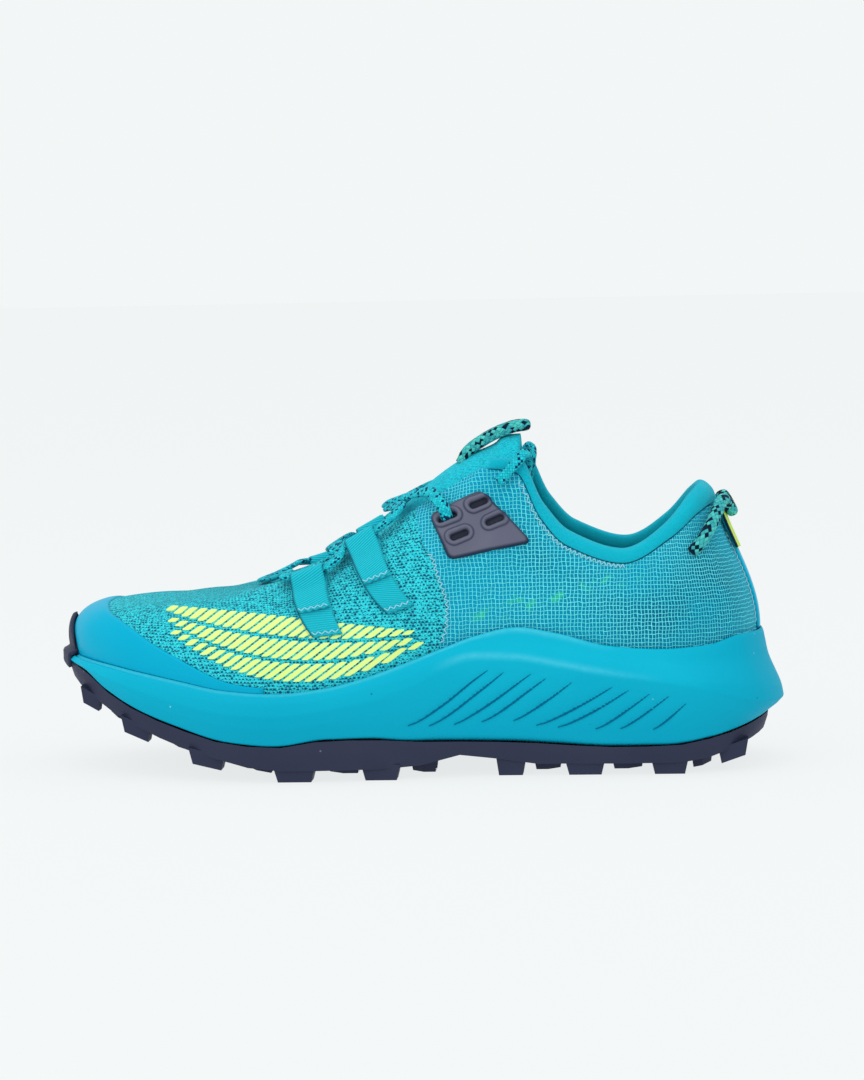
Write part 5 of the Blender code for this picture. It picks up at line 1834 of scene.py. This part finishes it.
webbing_material, tree, shader = new_material("webbing", 0.72, Sheen_Weight=0.04)
where = add_node(tree, "SeparateXYZ", {0: cloth_map(tree)}).outputs
slanted = calc(tree, "ADD", where[0], calc(tree, "MULTIPLY", where[1], 0.35))
rib = calc(tree, "PINGPONG", calc(tree, "DIVIDE", slanted, RIB_PITCH), 0.5)
twill = calc(tree, "PINGPONG", calc(tree, "DIVIDE", where[1], RIB_PITCH), 0.5)
relief = calc(tree, "ADD", calc(tree, "MULTIPLY", rib, 1.5), calc(tree, "MULTIPLY", twill, 0.5))
tone = blend_colour(tree, rib, (0.001, 0.330, 0.460, 1), (0.040, 0.860, 0.920, 1))
front = calc(tree, "MULTIPLY_ADD", mark(tree, "share"), -11.0, 1.0, clamp=True)
tone = blend_colour(tree, calc(tree, "MULTIPLY", front, 0.9), tone, (0.0, 0.05, 0.11, 1))
join_finish(tree, shader, tone, relief, 0.0003)

for band in BANDS:
    for side_name, sign in BOTH_SIDES:
        name = band.name + "_" + side_name
        lines = [band_line(band, sign, n / BAND_ACROSS) for n in range(BAND_ACROSS + 1)]
        webbing = grown(
            ribbon_builder(lines, BAND_THICKNESS, sign), "webbing_" + name, [webbing_material]
        )
        dress(webbing, "webbing", "lace_loop_" + name)

# The lace over the tongue. One braid lies across the front, runs back through the front loops,
# crosses over the tongue to the rear loops, crosses again and goes down into the plates' slots.

LACE_CLEAR = 0.0006
LACE_LIFT = GAP + 0.5 * LACE_THICKNESS + LACE_CLEAR
BAND_LIFT = GAP + BAND_THICKNESS + BAND_LOOP_RADIUS
LOOP_LIFT = GAP + 0.5 * BAND_THICKNESS + BAND_LOOP_RADIUS
PLATE_LIFT = GAP + PLATE_THICKNESS + RIM_LIFT + LACE_LIFT
LACE_FLAT = 0.0019


def on_skin(turn, climb, lift):
    return raised(turn, climb, lift), skin_outward(turn, climb)


def on_crown(station, lift):
    """A place over the middle of the tongue."""
    height_here = instep(follow(CROWNS, "height", "station", station))
    point = Vector(((station - 0.5) * LENGTH, 0, height_here))
    step = 0.02
    ahead = instep(follow(CROWNS, "height", "station", station + step))
    normal = Vector(((height_here - ahead) / (step * LENGTH), 0, 1)).normalized()
    return point + normal * lift, normal


def lace_route(stretch, sign=1):
    """The places of one stretch of lace, where each end lies inside a loop or a slot."""
    over = 0.8 * LACE_THICKNESS if sign < 0 else 0.0
    if stretch == "bar":
        half = (
            (0.690, 0.700, LOOP_LIFT),
            (0.731, 0.725, BAND_LIFT),
            (0.768, 0.830, 1.4 * LACE_LIFT),
            (0.870, 0.935, LACE_LIFT),
        )
        lateral = [on_skin(*row) for row in half]
        medial = [on_skin(-turn, climb, lift) for turn, climb, lift in half[::-1]]
        return lateral + [on_skin(1.000, 0.955, LACE_LIFT)] + medial
    if stretch == "front":
        return [
            on_skin(sign * 0.688, 0.705, LOOP_LIFT),
            on_skin(sign * 0.661, 0.750, BAND_LIFT),
            on_skin(sign * 0.699, 0.930, 2.4 * LACE_LIFT),
            on_crown(0.607, 2.1 * LACE_LIFT + over),
            on_skin(-sign * 0.708, 0.955, 2.4 * LACE_LIFT),
            on_skin(-sign * 0.693, 0.870, BAND_LIFT),
            on_skin(-sign * 0.650, 0.850, LOOP_LIFT),
        ]
    return [
        on_skin(sign * 0.650, 0.850, LOOP_LIFT),
        on_skin(sign * 0.621, 0.890, BAND_LIFT),
        on_skin(sign * 0.622, 1.000, 2.2 * LACE_LIFT),
        on_crown(0.528, 2.0 * LACE_LIFT + over),
        on_skin(-sign * 0.590, 1.000, 2.2 * LACE_LIFT),
        on_skin(-sign * 0.556, 0.870, PLATE_LIFT),
        on_skin(-sign * 0.530, 0.760, PLATE_LIFT),
        on_skin(-sign * 0.5215, 0.708, 0.0020),
        on_skin(-sign * 0.5200, 0.698, 0.0004),
    ]


def loop_pinch(first, last):
    """The lace squeezed inside the loops at the ends of a stretch, and full between them."""

    def pinch(a):
        full = eased(0.0, first, a) * (1 - eased(1 - last, 1.0, a))
        return 0.72 + 0.28 * full, 1.15 - 0.15 * full

    return pinch


# Each stretch of lace: its name, its node, its route, its side and how far it is squeezed at
# its two ends.
LACES = (
    ("lace_over_toe", "lace_bar", "bar", 1, (0.16, 0.16)),
    ("lace_front_lateral", "lace_cross_front", "front", 1, (0.20, 0.20)),
    ("lace_front_medial", "lace_cross_front", "front", -1, (0.20, 0.20)),
    ("lace_rear_lateral", "lace_cross_rear", "rear", 1, (0.20, 0.10)),
    ("lace_rear_medial", "lace_cross_rear", "rear", -1, (0.20, 0.10)),
)
for name, node, stretch, sign, ends in LACES:
    points, facings = zip(*lace_route(stretch, sign))
    pinch = loop_pinch(*ends)
    builder = swept_tube(points, facings, LACE_WIDTH, LACE_FLAT, steps=10, pinch=pinch)[0]
    dress(grown(builder, name, [lace_material]), "lace_braid", node)

# The two pull loops: round braided cord, cyan, green and black, sewn to the top of the tongue
# and to both sides of the heel.

ROPE_RADIUS = 0.0023
ROPE_LIFT = ROPE_RADIUS + GAP
# Half of the heel's loop, from the end that is sewn in to beside the middle, as (turn, climb,
# lift), and the middle. Lifts are in ROPE_LIFT.
HEEL_ROPE = (
    (0.196, 0.675, -0.5),
    (0.175, 0.710, 1.1),
    (0.130, 0.790, 1.15),
    (0.078, 0.860, 1.2),
    (0.036, 0.850, 1.25),
)
HEEL_ROPE_MIDDLE = (0.0, 0.785, 1.3)
# Half of the tongue's loop, as (station, lift, half width), and the middle's station and lift.
TONGUE_ROPE = (
    (0.436, -0.45, 1.0),
    (0.420, 0.66, 1.0),
    (0.388, 1.05, 1.1),
    (0.362, 1.35, 0.95),
)
TONGUE_ROPE_MIDDLE = (0.346, 1.5)

rope_material = braid_material(
    "rope_braid",
    (0.004, 0.230, 0.360, 1),
    (0.090, 0.640, 0.560, 1),
    (0.002, 0.012, 0.030, 1),
    0.0018,
    0.0022,
    0.34,
)


def rope(places, name, node):
    """A round cord through (point, facing) places."""
    builder = swept_tube(*zip(*places), 2 * ROPE_RADIUS, 2 * ROPE_RADIUS, steps=12)[0]
    dress(grown(builder, name, [rope_material]), "rope_braid", node)


def tongue_leg(sign):
    places = [on_crown(station, lift * ROPE_LIFT) for station, lift, width in TONGUE_ROPE]
    widths = [sign * row[2] * 1.4 * ROPE_RADIUS for row in TONGUE_ROPE]
    return [(point + Vector((0, wide, 0)), up) for (point, up), wide in zip(places, widths)]


station, lift = TONGUE_ROPE_MIDDLE
tongue_middle = on_crown(station, lift * ROPE_LIFT)
tongue_places = tongue_leg(1) + [tongue_middle] + tongue_leg(-1)[::-1]
rope(tongue_places, "tongue_cord", "tongue_pull_loop")

heel_rows = HEEL_ROPE + (HEEL_ROPE_MIDDLE,)
heel_rows += tuple((-turn, climb, lift) for turn, climb, lift in HEEL_ROPE[::-1])
heel_places = [
    on_skin(turn, climb, lift * ROPE_LIFT + 0.2 * CUFF_THICKNESS) for turn, climb, lift in heel_rows
]
rope(heel_places, "heel_cord", "heel_pull_loop")

# The heel tag: a short neon ribbon with dark edges, sewn flat on the heel's strip. Its upper end
# runs in under the heel's cord. Its face stays plain.

TAG_TURN = 0.056
TAG_TOP = 0.79
TAG_FOOT = 0.555
TAG_THICKNESS = 0.0009
TAG_ACROSS = 8

tag_material, tree, shader = new_material("tag_ribbon", 0.6)
where = add_node(tree, "SeparateXYZ", {0: cloth_map(tree)}).outputs
rib = calc(tree, "PINGPONG", calc(tree, "DIVIDE", where[0], 0.0005), 0.5)
tone = blend_colour(tree, rib, (0.50, 0.72, 0.10, 1), (0.66, 0.88, 0.20, 1))
rim = calc(tree, "ABSOLUTE", calc(tree, "SUBTRACT", mark(tree, "share"), 0.5))
tone = blend_colour(tree, calc(tree, "GREATER_THAN", rim, 0.40), tone, (0.004, 0.02, 0.05, 1))
join_finish(tree, shader, tone, rib, 0.0002, 0.7)

tag_lift = 2 * GAP + CAP_THICKNESS + 0.5 * TAG_THICKNESS
tag_lines = []
for n in range(TAG_ACROSS + 1):
    turn = TAG_TURN * (2 * n / TAG_ACROSS - 1)
    places = [raised(turn, TAG_TOP + (TAG_FOOT - TAG_TOP) * k / 6, tag_lift) for k in range(7)]
    tag_lines.append(smooth_path(places, 5))
tag = grown(ribbon_builder(tag_lines, TAG_THICKNESS, 1), "neon_tag", [tag_material])
dress(tag, "tag_ribbon", "heel_tag")

# The neon print on both sides of the forefoot: a plain leaf-shaped field of slanting dashes in
# three lanes. Each dash is a thin welded film that rises towards the heel.

# The two tips of the field, in x and z, and how far it rises and falls from the line between.
HATCH_FRONT = (0.1046, 0.0653)
HATCH_REAR = (-0.0125, 0.0553)
HATCH_RISE = 0.0016
HATCH_FALL = 0.0226
HATCH_LANES = 3
HATCH_GAP = 0.0014
HATCH_PITCH = 0.0043
HATCH_WIDE = 0.0030
HATCH_SLANT = math.tan(math.radians(36))
FILM_LIFT = 0.00035
FILM_SUNK = 0.0002
DASH_SHORTEST = 0.0012
DASH_CELLS = 8


@lru_cache(maxsize=None)
def wall_place(x, z):
    """The turn and climb at which the lateral wall lies at x and z."""
    turn = 0.50 + 1.9 * (x + 0.003)
    climb = 0.4
    step = 0.004
    for _ in range(7):
        here = skin(turn, climb)
        by_turn = (skin(turn + step, climb) - here) / step
        by_climb = (skin(turn, climb + step) - here) / step
        size = by_turn.x * by_climb.z - by_turn.z * by_climb.x
        dx, dz = x - here.x, z - here.z
        turn += (dx * by_climb.z - dz * by_climb.x) / size
        climb += (dz * by_turn.x - dx * by_turn.z) / size
        turn = min(max(turn, 0.3), 0.95)
        climb = min(max(climb, 0.02), 0.95)
    return turn, climb


def hatch_level(x, lane):
    """The height of a lane's border, 0 for the lowest, at a place along the field."""
    u = (HATCH_FRONT[0] - x) / (HATCH_FRONT[0] - HATCH_REAR[0])
    u = min(max(u, 0.0), 1.0)
    middle = HATCH_FRONT[1] + (HATCH_REAR[1] - HATCH_FRONT[1]) * u
    belly = 4 * u * (1 - u)
    top = middle + HATCH_RISE * belly
    low = middle - HATCH_FALL * belly
    return low + (top - low) * lane / HATCH_LANES


def add_dash(builder, x, lane, sign):
    """One dash, from its lane's lower border up to the border above it."""
    low = hatch_level(x, lane) + 0.5 * HATCH_GAP
    head = x
    for _ in range(6):
        head = x - (hatch_level(head, lane + 1) - 0.5 * HATCH_GAP - low) / HATCH_SLANT
    high = hatch_level(head, lane + 1) - 0.5 * HATCH_GAP
    if high - low < DASH_SHORTEST:
        return
    rows = []
    for n in range(DASH_CELLS + 1):
        share = n / DASH_CELLS
        end = math.sin(math.pi * min(share, 1 - share, 0.08) / 0.16)
        half = 0.5 * HATCH_WIDE * (0.72 + 0.28 * end)
        middle = x + (head - x) * share
        level = low + (high - low) * share
        row = []
        for side, lift in ((-1, -FILM_SUNK), (-1, FILM_LIFT), (1, FILM_LIFT), (1, -FILM_SUNK)):
            turn, climb = wall_place(round(middle + side * half, 6), round(level, 6))
            row.append(builder.verts.new(raised(sign * turn, climb, lift)))
        rows.append(row)
    join_rows(builder, rows)


def hatch_builder(sign):
    """The lanes of dashes, further apart where a lane's border rises as they do."""
    builder = bmesh.new()
    for lane in range(HATCH_LANES):
        x = HATCH_FRONT[0] - 0.33 * lane * HATCH_PITCH
        while x > HATCH_REAR[0]:
            add_dash(builder, x, lane, sign)
            rise = (hatch_level(x - 0.001, lane) - hatch_level(x, lane)) / 0.001
            x -= HATCH_PITCH * min(max(HATCH_SLANT / max(HATCH_SLANT - rise, 0.05), 0.7), 2.8)
    bmesh.ops.recalc_face_normals(builder, faces=builder.faces)
    return builder


neon_material, tree, shader, tone = moulded_material(
    "neon_film",
    base=(0.700, 0.900, 0.230, 1),
    cloudy=(0.780, 0.940, 0.330, 1),
    light=(0.86, 0.96, 0.50, 1),
    dark=(0.45, 0.70, 0.20, 1),
    roughness=0.5,
    grain=2400.0,
    amount=0.6,
    depth=0.00010,
)
for side_name, sign in BOTH_SIDES:
    name = "neon_dashes_" + side_name
    dress(grown(hatch_builder(sign), name, [neon_material], smooth=False), "cap_film")

# The stitches that show: a pale zigzag on the seam between knit and mesh, on the ends of the
# bands, beside the heel strip and under the front of the collar.

THREAD_RADIUS = 0.00022
ZIGZAG_PITCH = 0.00115
ZIGZAG_WIDE = 0.0011


def add_thread(builder, start, end):
    """One short straight stitch, a thin round bar with its ends sunk in the cloth."""
    run = end - start
    turn = Vector((0, 0, 1)).rotation_difference(run).to_matrix().to_4x4()
    bmesh.ops.create_cone(
        builder,
        cap_ends=True,
        segments=5,
        radius1=THREAD_RADIUS,
        radius2=THREAD_RADIUS,
        depth=run.length,
        matrix=Matrix.Translation(0.5 * (start + end)) @ turn,
    )


def zigzag(builder, line, wide=ZIGZAG_WIDE):
    """Stitches to and fro along a line of (point, outward) places."""
    points = [point for point, _ in line]
    length = sum((b - a).length for a, b in zip(points, points[1:]))
    count = max(int(length / ZIGZAG_PITCH), 2)
    corners = []
    for n in range(count + 1):
        point, ahead = along_path(points, n / count)
        outward = line[min(round(n / count * (len(line) - 1)), len(line) - 1)][1]
        aside = ahead.cross(outward).normalized() * (wide * (0.5 if n % 2 else -0.5))
        corners.append(point + aside)
    for one, other in zip(corners, corners[1:]):
        add_thread(builder, one, other)


def wall_line(places, lift):
    return [on_skin(turn, climb, lift) for turn, climb in places]


def band_seam(band, sign, b, lift):
    rows = []
    for n in range(9):
        point = band_spot(band, sign, 0.06 + 0.88 * n / 8, b, lift)
        above = band_spot(band, sign, 0.06 + 0.88 * n / 8, b, lift + 0.001)
        rows.append((point, (above - point).normalized()))
    return rows


def stitch_builder(sign):
    """One side's stitches: the seam, the collar's front, beside the heel strip and the bands."""
    builder = bmesh.new()
    climbs = [0.03 + 0.52 * n / 24 for n in range(25)]
    zigzag(builder, wall_line([(sign * seam_turn(c), c) for c in climbs], 0.0003), 0.0015)
    turns = [0.455 - 0.15 * n / 24 for n in range(25)]
    foot = [(sign * t, cuff_foot(t) - 0.035) for t in turns]
    zigzag(builder, wall_line(foot, 0.0002), 0.0014)
    beside = STRIP_TURN + 0.007
    heel = [(sign * beside, 0.05 + 0.62 * n / 20) for n in range(21)]
    zigzag(builder, wall_line(heel, 0.0002), 0.0013)
    top = 2 * BAND_THICKNESS + 2 * GAP + 0.0001
    for band in BANDS:
        zigzag(builder, band_seam(band, sign, BAND_FOLD - 0.03, top))
        zigzag(builder, band_seam(band, sign, 0.95, BAND_THICKNESS + GAP + 0.0001))
    return builder


thread_material, tree, shader = new_material("stitching", 0.6)
shader.inputs["Base Color"].default_value = (0.300, 0.680, 0.790, 1)
for side_name, sign in BOTH_SIDES:
    dress(grown(stitch_builder(sign), "stitches_" + side_name, [thread_material]), "upper_knit")


with open("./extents.json", "w") as size_file:
    json.dump(
        {
            "cad": [list(corner) for corner in solid_box],
            "visual": [list(corner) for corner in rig.bounds()],
        },
        size_file,
    )
